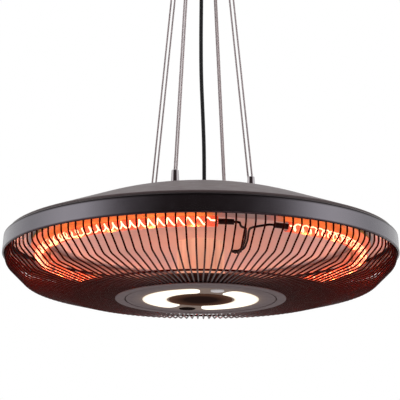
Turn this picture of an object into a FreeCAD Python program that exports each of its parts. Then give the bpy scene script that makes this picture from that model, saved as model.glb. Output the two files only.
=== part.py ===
import FreeCAD, Part
import math
import os

from FreeCAD import Vector

# A patio heater that hangs from the ceiling on four doubled wire ropes.
# Sizes are millimetres. While drawing, height 0 is the plane of the rim's lower edge.
# Angles run from the front, the -Y side, towards +X, in degrees.

# Ceiling canopy
CEILING_HEIGHT = 500.0  # from the rim plane up to the ceiling face
CANOPY_RADIUS = 70.0
CANOPY_DEPTH = 30.0
CANOPY_EDGE_RADIUS = 8.0
CANOPY_WALL = 1.2
CANOPY_CEILING_GAP = 0.5
BRACKET_RADIUS = 64.0
BRACKET_THICK = 2.0
BRACKET_SCREW_SPACING = 70.0
BRACKET_SCREW_HOLE = 5.5
BOSS_RADIUS = 6.0
BOSS_LENGTH = 12.0
CANOPY_TERMINAL_SIZE = (36.0, 16.0, 14.0)
CANOPY_TERMINAL_Y = 28.0

# Wire ropes and what holds them
ROPE_NAMES = ("front_left", "front_right", "rear_right", "rear_left")
ROPE_FIRST_ANGLE = -27.0
ROPE_DIAMETER = 3.0
ROPE_TOP_CIRCLE = 48.5
ROPE_FOOT_CIRCLE = 83.6
ROPE_FIT = 0.05
ROPE_END_DEPTH = 8.0
ANCHOR_DROP = 11.0  # from the canopy's floor down to the anchor pin
ANCHOR_FLANGE_RADIUS = 7.0
ANCHOR_FLANGE_THICK = 2.5
ANCHOR_SHANK = 6.0
ANCHOR_SHANK_LENGTH = 26.0
ANCHOR_CHEEK_THICK = 2.0
ANCHOR_CHEEK_WIDTH = 10.5
ANCHOR_SLOT = 3.8
PIN_DIAMETER = 3.5
GRIPPER_CIRCLE = 85.0
GRIPPER_BASE_RADIUS = 7.2
GRIPPER_TOP_RADIUS = 5.4
GRIPPER_TOP_HEIGHT = 119.5
GRIPPER_TOP_ROUND = 0.6
GRIPPER_STUD = 6.0
GRIPPER_STUD_FOOT = 6.5  # below the carrier plate
NUT_FLATS = 10.0
NUT_HEIGHT = 5.0

# Power cord
CORD_DIAMETER = 6.0
GLAND_X = 5.0
GLAND_FLANGE_RADIUS = 10.0
GLAND_FLANGE_THICK = 1.5
GLAND_BODY_RADIUS = 8.0
GLAND_TIP_RADIUS = 4.3
LID_GLAND_TAPER = 2.5
CANOPY_GRIP_TAPER = 23.0
GLAND_NECK_RADIUS = 7.1
GLAND_NECK_LENGTH = 4.0
GLAND_TIP_ROUND = 0.4
CORD_ROUTE = (  # between the gland's straight stretch and the canopy's grip
    (5.0, 0.0, 168.0),
    (2.6, 0.8, 232.0),
    (-0.2, -0.5, 296.0),
    (-0.6, 0.3, 366.0),
    (0.0, 0.0, 428.0),
)

# Dome and rim
SHEET = 1.2
RIM_RADIUS = 300.0
RIM_TAPER = 1.7  # how much smaller the radius is at the top
RIM_HEIGHT = 27.5
RIM_TOP_ROUND = 2.2
RIM_FLANGE_WIDTH = 20.0
HEM_WIDTH = 3.6
HEM_HEIGHT = 4.5
HEM_ROUND = 1.7
DOME_STEP = 5.5  # from the rim's top edge in to the dome's edge
DOME_EDGE_HEIGHT = 4.8  # of the dome's upright edge on the rim
DOME_FOOT_WIDTH = 12.0
DOME_EDGE_ROUND = 1.8
DOME_BEND = (157.0, 84.2)  # where the steep flank meets the flat crown
DOME_BEND_ROUND = 480.0
DOME_TOP_RADIUS = 46.0
DOME_TOP_HEIGHT = 108.0
DOME_TOP_ROUND = 12.0
DOME_HOLE_RADIUS = 16.0
LID_RADIUS = 34.0
LID_HEIGHT = 7.6
LID_WALL = 1.5
LID_ROUND = 4.0
RIM_SCREW_COUNT = 8
RIM_SCREW_INSET = 8.5  # from the dome's edge
RIM_SCREW = 4.0
RIM_SCREW_HEAD = 7.6
RIM_SCREW_HEAD_HEIGHT = 2.4

# Frame inside the dome
CARRIER_HEIGHT = 87.0
CARRIER_THICK = 2.0
CARRIER_RADIUS = 100.0
CARRIER_HOLE_RADIUS = 30.0
STANDOFF_CIRCLE = 85.0
STANDOFF_DIAMETER = 8.0
CONTROL_BOX_SIZE = (110.0, 60.0, 32.0)
CONTROL_BOX_Y = 150.0
CONTROL_BOX_ROUND = 4.0
TERMINAL_SIZE = (20.0, 40.0, 18.0)
TERMINAL_X = -130.0

# Reflector, heating tube and its leads
REFLECTOR_THICK = 1.0
REFLECTOR_GAP = 8.0  # to the rim's wall
TROUGH_SHEET = 0.8
TROUGH_INNER_TOP = 12.5  # from the tube's middle line
TROUGH_INNER_MOUTH = 21.5
TROUGH_OUTER_TOP = 11.0
TROUGH_OUTER_MOUTH = 12.0
TROUGH_MOUTH_HEIGHT = 9.0
TROUGH_ROUND = 6.0
TROUGH_SEGMENT_COUNT = 24
TUBE_INSET = 55.0  # from the rim's lower edge in to the tube's middle line
TUBE_HEIGHT = 1.0
TUBE_DIAMETER = 15.0
TUBE_WALL = 1.0
TUBE_ENDS = (28.6, 365.4)
SLEEVE_DIAMETER = 7.8
SLEEVE_OUTER_ENDS = (24.4, 370.5)
PLUG_LENGTH_ANGLE = 0.4
SPIRAL_CURL_COUNT = 96
SPIRAL_DIAMETER = 9.6  # at the middle of the strand
STRAND_DIAMETER = 1.8
SPIRAL_LEAD_ANGLE = 1.9  # from a plug to the first full curl
CLIP_ANGLES = (105.0, 145.0, 185.0, 225.0, 255.0)
CLIP_THICK = 0.8
CLIP_WIDTH = 8.0
CLIP_OPENING = 90.0
LEAD_DIAMETER = 3.2
LEAD_GAP = 0.5  # between the two leads
LEAD_STRAIGHT = 8.0  # out of each sleeve
LEAD_ROUTE = (  # x, y, depth below the reflector, and how far each lead is moved aside
    (65.0, -212.0, 24.0, 8.0),
    (66.0, -178.0, 18.0, 1.2),
    (67.0, -118.0, 9.0, 0.0),
    (68.0, -55.0, 6.5, 0.0),
    (65.0, 6.0, 6.5, 0.0),
)
GROMMET_PLACE = (55.5, 54.0)
GROMMET_FLANGE_RADIUS = 8.4
GROMMET_FLANGE_THICK = 2.0
GROMMET_NECK_RADIUS = 6.4
GROMMET_BORE_RADIUS = 4.7

# Wire guard
WIRE_COUNT = 138
WIRE_DIAMETER = 2.5
WIRE_RIM_GAP = 0.65  # to the rim's hem
WIRE_TOP_HEIGHT = 9.0
WIRE_SHOULDER_HEIGHT = -10.8
WIRE_ELBOW_INSET = 30.3
WIRE_ELBOW_HEIGHT = -40.6
WIRE_MIDDLE = (203.0, -56.4)
WIRE_INNER_GAP = 1.5  # from the lamp housing's wall to the wires' inner ends
WIRE_BENDS = (0.0, 16.0, 20.0, 30.0, 0.0)  # rounding at each corner
RING_DIAMETER = 3.0
MIDDLE_RING_RADIUS = 187.0
RIM_RING_HEIGHT = 7.0
GUARD_CLIP_COUNT = 8
GUARD_CLIP_WIDTH = 10.0
GUARD_CLIP_FOOT = 10.0

# Lamp hub
HUB_FACE_HEIGHT = -62.2  # underside of the bezel
BEZEL_OVERHANG = 5.0  # past the lamp housing's wall
BEZEL_LAND = 9.0  # from the lamp housing's wall in to the bezel's bore
BEZEL_THICK = 1.2
BEZEL_SKIRT_HEIGHT = 10.0
BEZEL_SKIRT_THICK = 1.6
HOUSING_RADIUS = 124.0
HOUSING_FLANGE_WIDTH = 7.0
HOUSING_WALL = 1.2
HOUSING_DEPTH = 17.2
HOUSING_HOLE_RADIUS = 20.0
HOUSING_ROUND = 4.0
COLUMN_RADIUS = 36.0
COLUMN_WALL = 1.5
COLUMN_FLANGE_RADIUS = 46.0
COLUMN_FLANGE_THICK = 1.5
FACE_GAP = 1.8  # round the face plate, to the bezel's bore
FACE_THICK = 1.4
FACE_RECESS = 0.2
FACE_POST_INSET = 12.2  # from the face plate's edge
FACE_POST_RADIUS = 4.0
FACE_POST_ANGLE = 61.0
FACE_SCREW = 3.0
FACE_SCREW_HEAD = 5.6
FACE_SCREW_HEAD_HEIGHT = 1.2
FACE_SCREW_DEPTH = 8.0
DIFFUSER_INNER_RADIUS = 51.0
DIFFUSER_INSET = 25.2  # from the face plate's edge
DIFFUSER_GAP = 34.0
DIFFUSER_GAP_ANGLE = 16.0
DIFFUSER_LIP = 1.5
DIFFUSER_CORNER = 14.0
CORNER_SHARE = 0.45  # of the diffuser's width, the most that its corners may take
DIFFUSER_PROUD = 0.4
CAP_FACE_RADIUS = 47.5
CAP_LIP = 1.5
CAP_PROUD = 1.2
CAP_EDGE_ROUND = 0.6
CAP_DISH_RADIUS = 26.0
CAP_DISH_DEPTH = 0.8
CAP_DISH_ROUND = 20.0
BOARD_INNER_RADIUS = 47.0
BOARD_POST_GAP = 7.0  # from the board's edge to the middle of the face posts
BOARD_THICK = 1.6
BOARD_DEPTH = 7.0  # from the hub's face up to the underside
BOARD_POST_INSET = 19.0  # from the diffusers' outer edge
BOARD_POST_RADIUS = 3.0
CHIP_COUNT = 12
CHIP_SIZE = 3.5
CHIP_HEIGHT = 0.9
CHIP_INSET = 18.0  # from the diffusers' outer edge
BUTTON_INSET = 33.2  # from the face plate's edge
BUTTON_ANGLE = 17.7
BUTTON_RADIUS = 10.0
BUTTON_PROUD = 2.0
BUTTON_ROUND = 1.2
BUTTON_FLANGE = 1.5
BUTTON_TRAVEL = 1.5
SWITCH_SIZE = 6.0
SWITCH_HEIGHT = 0.8
STEM_RADIUS = 2.0
LENS_INSET = 32.2  # from the face plate's edge
LENS_ANGLE = 195.0
LENS_RADIUS = 13.0
LENS_PROUD = 0.6
LENS_ROUND = 0.5
LENS_LIP_THICK = 1.0
SENSOR_SIZE = (8.0, 6.0, 3.0)

EDGE_ROUND = 0.8  # small pressed and moulded edges

# Clearances
SLIP = 0.1  # screws, studs, bushes and bores of fixed pieces
SEAT = 0.05  # round pieces that lie on each other
SLIDE = 0.3  # round the push button
INSET = 0.15  # panels set in a window

# Radii that follow from the sizes
RIM_TOP_RADIUS = RIM_RADIUS - RIM_TAPER
RIM_FLANGE_RADIUS = RIM_TOP_RADIUS - RIM_FLANGE_WIDTH
DOME_EDGE_RADIUS = RIM_TOP_RADIUS - DOME_STEP
DOME_FOOT_RADIUS = DOME_EDGE_RADIUS - DOME_FOOT_WIDTH
RIM_SCREW_CIRCLE = DOME_EDGE_RADIUS - RIM_SCREW_INSET
REFLECTOR_RADIUS = RIM_TOP_RADIUS - SHEET - REFLECTOR_GAP
TUBE_CIRCLE = RIM_RADIUS - TUBE_INSET
WIRE_CIRCLE = RIM_RADIUS - HEM_WIDTH - WIRE_RIM_GAP - WIRE_DIAMETER / 2

# Heights that follow from the sizes
CANOPY_FLOOR = CEILING_HEIGHT - CANOPY_DEPTH
BRACKET_UNDERSIDE = CEILING_HEIGHT - BRACKET_THICK
PIN_HEIGHT = CANOPY_FLOOR - ANCHOR_DROP
LID_TOP = DOME_TOP_HEIGHT + LID_HEIGHT
HOUSING_ROOF_HEIGHT = HUB_FACE_HEIGHT + HOUSING_DEPTH
BOARD_HEIGHT = HUB_FACE_HEIGHT + BOARD_DEPTH
REFLECTOR_TOP = RIM_HEIGHT - SHEET
REFLECTOR_UNDERSIDE = REFLECTOR_TOP - REFLECTOR_THICK
TROUGH_ROOF = REFLECTOR_UNDERSIDE - TROUGH_SHEET
WIRE_INNER_HEIGHT = HUB_FACE_HEIGHT + BEZEL_THICK + SEAT + WIRE_DIAMETER / 2
BEZEL_RADIUS = HOUSING_RADIUS + BEZEL_OVERHANG
BEZEL_BORE_RADIUS = HOUSING_RADIUS - BEZEL_LAND
FACE_RADIUS = BEZEL_BORE_RADIUS - FACE_GAP
FACE_POST_CIRCLE = FACE_RADIUS - FACE_POST_INSET
DIFFUSER_OUTER_RADIUS = FACE_RADIUS - DIFFUSER_INSET
BOARD_OUTER_RADIUS = FACE_POST_CIRCLE - BOARD_POST_GAP
BOARD_POST_CIRCLE = DIFFUSER_OUTER_RADIUS - BOARD_POST_INSET
CHIP_CIRCLE = DIFFUSER_OUTER_RADIUS - CHIP_INSET
BUTTON_CIRCLE = FACE_RADIUS - BUTTON_INSET
LENS_CIRCLE = FACE_RADIUS - LENS_INSET
HOUSING_FLANGE_RADIUS = HOUSING_RADIUS + HOUSING_FLANGE_WIDTH
WIRE_INNER_RADIUS = HOUSING_RADIUS + WIRE_INNER_GAP
WIRE_RISE = (WIRE_MIDDLE[1] - WIRE_INNER_HEIGHT) / (WIRE_MIDDLE[0] - WIRE_INNER_RADIUS)
WIRE_AT_FLANGE = WIRE_INNER_HEIGHT + WIRE_RISE * (HOUSING_FLANGE_RADIUS - WIRE_INNER_RADIUS)
HOUSING_FLANGE_UNDERSIDE = WIRE_AT_FLANGE + WIRE_DIAMETER / 2 + SEAT
HOUSING_ROOF_UNDERSIDE = HOUSING_ROOF_HEIGHT - HOUSING_WALL
FACE_UNDERSIDE = HUB_FACE_HEIGHT + FACE_RECESS
FACE_TOP = FACE_UNDERSIDE + FACE_THICK
ROPE_ANGLES = [ROPE_FIRST_ANGLE + 90 * step for step in range(4)]
STANDOFF_ANGLES = [angle + 45 for angle in ROPE_ANGLES]
AXIS = Vector(0, 0, 1)


def polar(radius, angle, height):
    """The point at an angle from the front."""
    turn = math.radians(angle)
    return Vector(radius * math.sin(turn), -radius * math.cos(turn), height)


def turned(shape, angle):
    """A copy of a shape drawn along +X, turned about the middle axis to an angle from the front."""
    copy = shape.copy()
    copy.rotate(Vector(), AXIS, angle - 90)
    return copy


def around(shape, angles):
    return [turned(shape, angle) for angle in angles]


def even_angles(count, first=0.0):
    return [first + 360.0 * step / count for step in range(count)]


def cylinder(radius, low, high, x=0.0, y=0.0):
    return Part.makeCylinder(radius, high - low, Vector(x, y, low))


def post(radius, low, high, circle, angle):
    place = polar(circle, angle, low)
    return Part.makeCylinder(radius, high - low, place)


def box(size, x, y, low):
    return Part.makeBox(size[0], size[1], size[2], Vector(x - size[0] / 2, y - size[1] / 2, low))


def three_point_arc(start, tangent, end):
    """The arc from start, along tangent, to end."""
    chord = end - start
    length = chord.Length
    chord.normalize()
    half_way = tangent + chord
    half_way.normalize()
    middle = start + half_way * (length / (2 * half_way.dot(chord)))
    return Part.Arc(start, middle, end).toShape()


def rounded_edges(points, radii, closed):
    """Lines through points, with each corner rounded by its own radius."""
    count = len(points)
    entries, exits, arcs = [], [], []
    for index, here in enumerate(points):
        at_end = not closed and index in (0, count - 1)
        if at_end or radii[index] == 0:
            entries.append(here)
            exits.append(here)
            arcs.append(None)
            continue
        back = (points[index - 1] - here).normalize()
        ahead = (points[(index + 1) % count] - here).normalize()
        reach = radii[index] / math.tan(back.getAngle(ahead) / 2)
        entries.append(here + back * reach)
        exits.append(here + ahead * reach)
        arcs.append(three_point_arc(entries[-1], back * -1, exits[-1]))
    edges = []
    for index in range(count):
        if arcs[index]:
            edges.append(arcs[index])
        after = (index + 1) % count
        if not closed and after == 0:
            break
        if (entries[after] - exits[index]).Length > 1e-6:
            edges.append(Part.LineSegment(exits[index], entries[after]).toShape())
    return edges


def revolved(corners, sweep=360.0, start=90.0):
    """A solid of revolution from (radius, height) or (radius, height, rounding) corners."""
    points = [Vector(corner[0], 0, corner[1]) for corner in corners]
    radii = [corner[2] if len(corner) > 2 else 0 for corner in corners]
    face = Part.Face(Part.Wire(rounded_edges(points, radii, True)))
    return turned(face.revolve(Vector(), AXIS, sweep), start)


def inner_side(corners, wall):
    """The open line of corners again, moved to its right-hand side by a wall's thickness."""
    lines = []
    for first, second in zip(corners, corners[1:]):
        along = Vector(second[0] - first[0], 0, second[1] - first[1]).normalize()
        lines.append((along, Vector(along.z, 0, -along.x)))
    moved = []
    for index, corner in enumerate(corners):
        before = lines[max(index - 1, 0)]
        after = lines[min(index, len(lines) - 1)]
        middle = before[1] + after[1]
        shift = middle * (2 * wall / middle.dot(middle))
        rounding = corner[2] if len(corner) > 2 else 0
        moved.append([corner[0] + shift.x, corner[1] + shift.z, rounding])
    return moved


def ring_piece(radius, circle, height, ends):
    """A round bar bent along a circle, between two angles from the front."""
    section = Part.Face(Part.Wire(Part.makeCircle(radius, Vector(circle, 0, height), Vector(0, 1, 0))))
    return turned(section.revolve(Vector(), AXIS, ends[1] - ends[0]), ends[0])


def full_ring(radius, circle, height):
    return Part.makeTorus(circle, radius, Vector(0, 0, height))


def tube_along(edges, diameter):
    """A round bar along a chain of edges."""
    path = Part.Wire(edges)
    first = path.OrderedEdges[0]
    start = first.valueAt(first.FirstParameter)
    direction = first.tangentAt(first.FirstParameter)
    if (start - path.OrderedVertexes[0].Point).Length > 1e-6:
        start = first.valueAt(first.LastParameter)
        direction = first.tangentAt(first.LastParameter) * -1
    section = Part.Wire(Part.makeCircle(diameter / 2, start, direction))
    return path.makePipeShell([section], True, False)


def cord_radii(points):
    """The largest rounding at each point that its two runs leave room for."""
    radii = [0.0]
    for before, here, after in zip(points, points[1:], points[2:]):
        turn = (here - before).getAngle(after - here)
        shorter = min((here - before).Length, (after - here).Length)
        radii.append(0.45 * shorter / math.tan(turn / 2))
    return radii + [0.0]


def cord_along(name, points, diameter):
    radii = cord_radii(points)
    tube = tube_along(rounded_edges(points, radii, False), diameter)
    length = sum(edge.Length for edge in rounded_edges(points, radii, False))
    share = tube.Volume / (math.pi * diameter**2 / 4 * length)
    print(name, "radii", [round(radius, 1) for radius in radii[1:-1]],
          "length", round(length, 1), "volume share", round(share, 4))
    return tube


def save(name, shape):
    """Writes one node, with the ceiling face brought to height 0."""
    placed = shape.copy()
    placed.translate(Vector(0, 0, -CEILING_HEIGHT))
    placed.exportStep("parts/%s.step" % name)


def save_group(name, shapes):
    save(name, Part.makeCompound(shapes))


def gland(base_height, way, taper):
    """A tapered cord gland on the middle axis, that stands on base_height, or hangs from it with way -1."""
    bore = CORD_DIAMETER / 2 + SEAT
    flange_end = base_height + way * GLAND_FLANGE_THICK
    tip = flange_end + way * taper
    neck_end = base_height - way * GLAND_NECK_LENGTH
    return revolved([
        (bore, neck_end),
        (GLAND_NECK_RADIUS, neck_end),
        (GLAND_NECK_RADIUS, base_height),
        (GLAND_FLANGE_RADIUS, base_height),
        (GLAND_FLANGE_RADIUS, flange_end, EDGE_ROUND),
        (GLAND_BODY_RADIUS, flange_end),
        (GLAND_TIP_RADIUS, tip, GLAND_TIP_ROUND),
        (bore, tip),
    ])


def make_ceiling_bracket():
    plate = cylinder(BRACKET_RADIUS, BRACKET_UNDERSIDE, CEILING_HEIGHT)
    foot = BRACKET_UNDERSIDE - BOSS_LENGTH
    bore = ANCHOR_SHANK / 2 + SEAT
    for angle in ROPE_ANGLES:
        boss = post(BOSS_RADIUS, foot, BRACKET_UNDERSIDE, ROPE_TOP_CIRCLE, angle)
        plate = plate.fuse(boss)
    for angle in ROPE_ANGLES:
        plate = plate.cut(post(bore, foot, BRACKET_UNDERSIDE, ROPE_TOP_CIRCLE, angle))
    for side in (-1, 1):
        hole = cylinder(BRACKET_SCREW_HOLE / 2, BRACKET_UNDERSIDE, CEILING_HEIGHT,
                        side * BRACKET_SCREW_SPACING / 2)
        plate = plate.cut(hole)
    save("ceiling_bracket", plate.removeSplitter())


def make_canopy_cover():
    rim = CEILING_HEIGHT - CANOPY_CEILING_GAP
    outer = [
        (GLAND_NECK_RADIUS + SLIP, CANOPY_FLOOR),
        (CANOPY_RADIUS, CANOPY_FLOOR, CANOPY_EDGE_RADIUS),
        (CANOPY_RADIUS, rim),
    ]
    inner = [
        (CANOPY_RADIUS - CANOPY_WALL, rim),
        (CANOPY_RADIUS - CANOPY_WALL, CANOPY_FLOOR + CANOPY_WALL, CANOPY_EDGE_RADIUS - CANOPY_WALL),
        (GLAND_NECK_RADIUS + SLIP, CANOPY_FLOOR + CANOPY_WALL),
    ]
    cover = revolved(outer + inner)
    for angle in ROPE_ANGLES:
        hole = post(ANCHOR_SHANK / 2 + SLIP, CANOPY_FLOOR, CANOPY_FLOOR + CANOPY_WALL,
                    ROPE_TOP_CIRCLE, angle)
        cover = cover.cut(hole)
    save("canopy_cover", cover)


def make_canopy_terminal_block():
    low = BRACKET_UNDERSIDE - CANOPY_TERMINAL_SIZE[2]
    save("canopy_terminal_block", box(CANOPY_TERMINAL_SIZE, 0, CANOPY_TERMINAL_Y, low))


def make_rope_anchors():
    """Forked studs under the canopy. Each fork holds a pin that a rope turns round."""
    flange_low = CANOPY_FLOOR - ANCHOR_FLANGE_THICK
    shank = cylinder(ANCHOR_SHANK / 2, CANOPY_FLOOR, CANOPY_FLOOR + ANCHOR_SHANK_LENGTH, ROPE_TOP_CIRCLE)
    flange = cylinder(ANCHOR_FLANGE_RADIUS, flange_low, CANOPY_FLOOR, ROPE_TOP_CIRCLE)
    half = ANCHOR_CHEEK_WIDTH / 2
    depth = ANCHOR_SLOT + 2 * ANCHOR_CHEEK_THICK
    across = Vector(0, 1, 0)
    corner = Vector(ROPE_TOP_CIRCLE - half, -depth / 2, PIN_HEIGHT)
    fork = Part.makeBox(2 * half, depth, flange_low - PIN_HEIGHT, corner)
    fork = fork.fuse(Part.makeCylinder(half, depth, Vector(ROPE_TOP_CIRCLE, -depth / 2, PIN_HEIGHT), across))
    slot_low = PIN_HEIGHT - half
    slot_corner = Vector(ROPE_TOP_CIRCLE - half, -ANCHOR_SLOT / 2, slot_low)
    fork = fork.cut(Part.makeBox(2 * half, ANCHOR_SLOT, flange_low - slot_low, slot_corner))
    pin_start = Vector(ROPE_TOP_CIRCLE, -depth / 2, PIN_HEIGHT)
    fork = fork.cut(Part.makeCylinder(PIN_DIAMETER / 2 + SEAT, depth, pin_start, across))
    anchor = shank.fuse(flange).fuse(fork).removeSplitter()
    pin = Part.makeCylinder(PIN_DIAMETER / 2, depth, pin_start, across)
    save_group("rope_anchors", around(anchor, ROPE_ANGLES))
    save_group("anchor_pins", around(pin, ROPE_ANGLES))


def rope_edges():
    """One doubled rope, drawn along +X: up one leg, round the pin and down the other leg."""
    pin = Vector(ROPE_TOP_CIRCLE, 0, PIN_HEIGHT)
    foot = Vector(ROPE_FOOT_CIRCLE, 0, GRIPPER_TOP_HEIGHT)
    down = (foot - pin).normalize()
    outward = Vector(-down.z, 0, down.x)
    turn = (PIN_DIAMETER + ROPE_DIAMETER) / 2 + SEAT
    leg = (foot - pin).Length + ROPE_END_DEPTH
    outer_top = pin + outward * turn
    inner_top = pin - outward * turn
    return [
        Part.LineSegment(outer_top + down * leg, outer_top).toShape(),
        Part.Arc(outer_top, pin - down * turn, inner_top).toShape(),
        Part.LineSegment(inner_top, inner_top + down * leg).toShape(),
    ]


def make_ropes():
    rope = tube_along(rope_edges(), ROPE_DIAMETER)
    print("rope length", round(sum(edge.Length for edge in rope_edges()), 1))
    for name, angle in zip(ROPE_NAMES, ROPE_ANGLES):
        save("rope_" + name, turned(rope, angle))


def dome_outline():
    """The outer line of the dome, from its top hole down to its edge."""
    return [
        (DOME_HOLE_RADIUS, DOME_TOP_HEIGHT),
        (DOME_TOP_RADIUS, DOME_TOP_HEIGHT, DOME_TOP_ROUND),
        (DOME_BEND[0], DOME_BEND[1], DOME_BEND_ROUND),
        (DOME_EDGE_RADIUS, RIM_HEIGHT + DOME_EDGE_HEIGHT, DOME_EDGE_ROUND),
        (DOME_EDGE_RADIUS, RIM_HEIGHT),
    ]


def make_dome_shell():
    """A spun steel dome with an upright edge and a flat foot that stands on the rim's flange."""
    outer = dome_outline()
    inner = inner_side(outer, SHEET)
    inner[0] = [DOME_HOLE_RADIUS, DOME_TOP_HEIGHT - SHEET, 0]
    inner[1][2] = DOME_TOP_ROUND - SHEET
    inner[2][2] = DOME_BEND_ROUND - SHEET
    inner[3][2] = DOME_EDGE_ROUND - SHEET
    foot_top = RIM_HEIGHT + SHEET
    inner[4][1] = foot_top
    foot = [(DOME_FOOT_RADIUS, RIM_HEIGHT), (DOME_FOOT_RADIUS, foot_top)]
    dome = revolved(outer + foot + inner[::-1])
    for angle in ROPE_ANGLES:
        dome = dome.cut(post(GRIPPER_STUD / 2 + SLIP, CARRIER_HEIGHT, GRIPPER_TOP_HEIGHT,
                             GRIPPER_CIRCLE, angle))
    for angle in rim_screw_angles():
        dome = dome.cut(post(RIM_SCREW / 2 + SLIP, RIM_HEIGHT, foot_top, RIM_SCREW_CIRCLE, angle))
    save("dome_shell", dome)


def rim_screw_angles():
    return even_angles(RIM_SCREW_COUNT, 180.0 / RIM_SCREW_COUNT)


def make_rim_band():
    """A rolled band with a flange on top and a hem round its lower edge."""
    taper = (RIM_RADIUS - RIM_TOP_RADIUS) / RIM_HEIGHT
    wall_at_hem = RIM_RADIUS - taper * (HEM_HEIGHT + SHEET) - SHEET
    band = revolved([
        (RIM_RADIUS, 0, HEM_ROUND),
        (RIM_TOP_RADIUS, RIM_HEIGHT, RIM_TOP_ROUND),
        (RIM_FLANGE_RADIUS, RIM_HEIGHT),
        (RIM_FLANGE_RADIUS, REFLECTOR_TOP),
        (RIM_TOP_RADIUS - SHEET, REFLECTOR_TOP, RIM_TOP_ROUND - SHEET),
        (wall_at_hem, HEM_HEIGHT + SHEET),
        (RIM_RADIUS - HEM_WIDTH, HEM_HEIGHT),
        (RIM_RADIUS - HEM_WIDTH, 0, HEM_ROUND),
    ])
    for angle in rim_screw_angles():
        band = band.cut(post(RIM_SCREW / 2 + SLIP, REFLECTOR_TOP, RIM_HEIGHT, RIM_SCREW_CIRCLE, angle))
    save("rim_band", band)


def make_rim_screws():
    head_low = REFLECTOR_UNDERSIDE - RIM_SCREW_HEAD_HEIGHT
    screws = []
    for angle in rim_screw_angles():
        head = post(RIM_SCREW_HEAD / 2, head_low, REFLECTOR_UNDERSIDE, RIM_SCREW_CIRCLE, angle)
        shank = post(RIM_SCREW / 2, REFLECTOR_UNDERSIDE, RIM_HEIGHT + SHEET, RIM_SCREW_CIRCLE, angle)
        screws.append(head.fuse(shank))
    save_group("rim_screws", screws)


def make_top_lid():
    """A shallow lid over the dome's top hole."""
    lid = revolved([
        (0, LID_TOP),
        (LID_RADIUS, LID_TOP, LID_ROUND),
        (LID_RADIUS, DOME_TOP_HEIGHT),
        (LID_RADIUS - LID_WALL, DOME_TOP_HEIGHT),
        (LID_RADIUS - LID_WALL, LID_TOP - LID_WALL, LID_ROUND - LID_WALL),
        (0, LID_TOP - LID_WALL),
    ])
    save("top_lid", lid.cut(cylinder(GLAND_NECK_RADIUS + SLIP, DOME_TOP_HEIGHT, LID_TOP, GLAND_X)))


def make_glands():
    lower = gland(LID_TOP, 1, LID_GLAND_TAPER)
    lower.translate(Vector(GLAND_X, 0, 0))
    save("cord_gland", lower)
    save("canopy_cord_grip", gland(CANOPY_FLOOR, -1, CANOPY_GRIP_TAPER))


def make_power_cord():
    """A nearly straight cord from the gland on the lid to the grip in the canopy."""
    start = Vector(GLAND_X, 0, LID_TOP - GLAND_NECK_LENGTH)
    end = Vector(0, 0, CANOPY_FLOOR + GLAND_NECK_LENGTH)
    points = [start] + [Vector(*place) for place in CORD_ROUTE] + [end]
    save("power_cord", cord_along("power cord", points, CORD_DIAMETER))


def make_rope_grippers():
    """Conical grippers that stand on the dome, with a stud down to the carrier plate."""
    foot = CARRIER_HEIGHT - GRIPPER_STUD_FOOT
    low = DOME_BEND[1]
    taper = Part.makeCone(GRIPPER_BASE_RADIUS, GRIPPER_TOP_RADIUS, GRIPPER_TOP_HEIGHT - low)
    taper.translate(Vector(GRIPPER_CIRCLE, 0, low))
    under = [(0, 0), (0, DOME_TOP_HEIGHT + SEAT)]
    under += [(corner[0], corner[1] + SEAT) + tuple(corner[2:]) for corner in dome_outline()[1:-1]]
    taper = taper.cut(revolved(under + [(DOME_EDGE_RADIUS, 0)]))
    top_edges = [edge for edge in taper.Edges if edge.BoundBox.ZMin > GRIPPER_TOP_HEIGHT - SEAT]
    taper = taper.makeFillet(GRIPPER_TOP_ROUND, top_edges)
    stud = cylinder(GRIPPER_STUD / 2, foot, DOME_TOP_HEIGHT, GRIPPER_CIRCLE)
    gripper = taper.fuse(stud)
    gripper = gripper.cut(tube_along(rope_edges(), ROPE_DIAMETER + 2 * ROPE_FIT))
    save_group("rope_grippers", around(gripper, ROPE_ANGLES))


def make_gripper_nuts():
    corner_radius = NUT_FLATS / math.sqrt(3)
    corners = [polar(corner_radius, angle, CARRIER_HEIGHT - NUT_HEIGHT) for angle in even_angles(6)]
    hexagon = Part.Face(Part.makePolygon(corners + corners[:1]))
    nut = hexagon.extrude(Vector(0, 0, NUT_HEIGHT))
    nut = nut.cut(cylinder(GRIPPER_STUD / 2 + SEAT, CARRIER_HEIGHT - NUT_HEIGHT, CARRIER_HEIGHT))
    nut.translate(Vector(GRIPPER_CIRCLE, 0, 0))
    save_group("gripper_nuts", around(nut, ROPE_ANGLES))


def make_carrier_plate():
    top = CARRIER_HEIGHT + CARRIER_THICK
    plate = cylinder(CARRIER_RADIUS, CARRIER_HEIGHT, top)
    plate = plate.cut(cylinder(CARRIER_HOLE_RADIUS, CARRIER_HEIGHT, top))
    for angle in ROPE_ANGLES:
        plate = plate.cut(post(GRIPPER_STUD / 2 + SLIP, CARRIER_HEIGHT, top, GRIPPER_CIRCLE, angle))
    save("carrier_plate", plate)


def make_frame_standoffs():
    posts = [post(STANDOFF_DIAMETER / 2, REFLECTOR_TOP, CARRIER_HEIGHT, STANDOFF_CIRCLE, angle)
             for angle in STANDOFF_ANGLES]
    save_group("frame_standoffs", posts)


def make_control_pieces():
    case = box(CONTROL_BOX_SIZE, 0, CONTROL_BOX_Y, REFLECTOR_TOP)
    upright = [edge for edge in case.Edges if edge.BoundBox.ZLength > 1]
    save("control_box", case.makeFillet(CONTROL_BOX_ROUND, upright))
    save("terminal_block", box(TERMINAL_SIZE, TERMINAL_X, 0, REFLECTOR_TOP))


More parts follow.
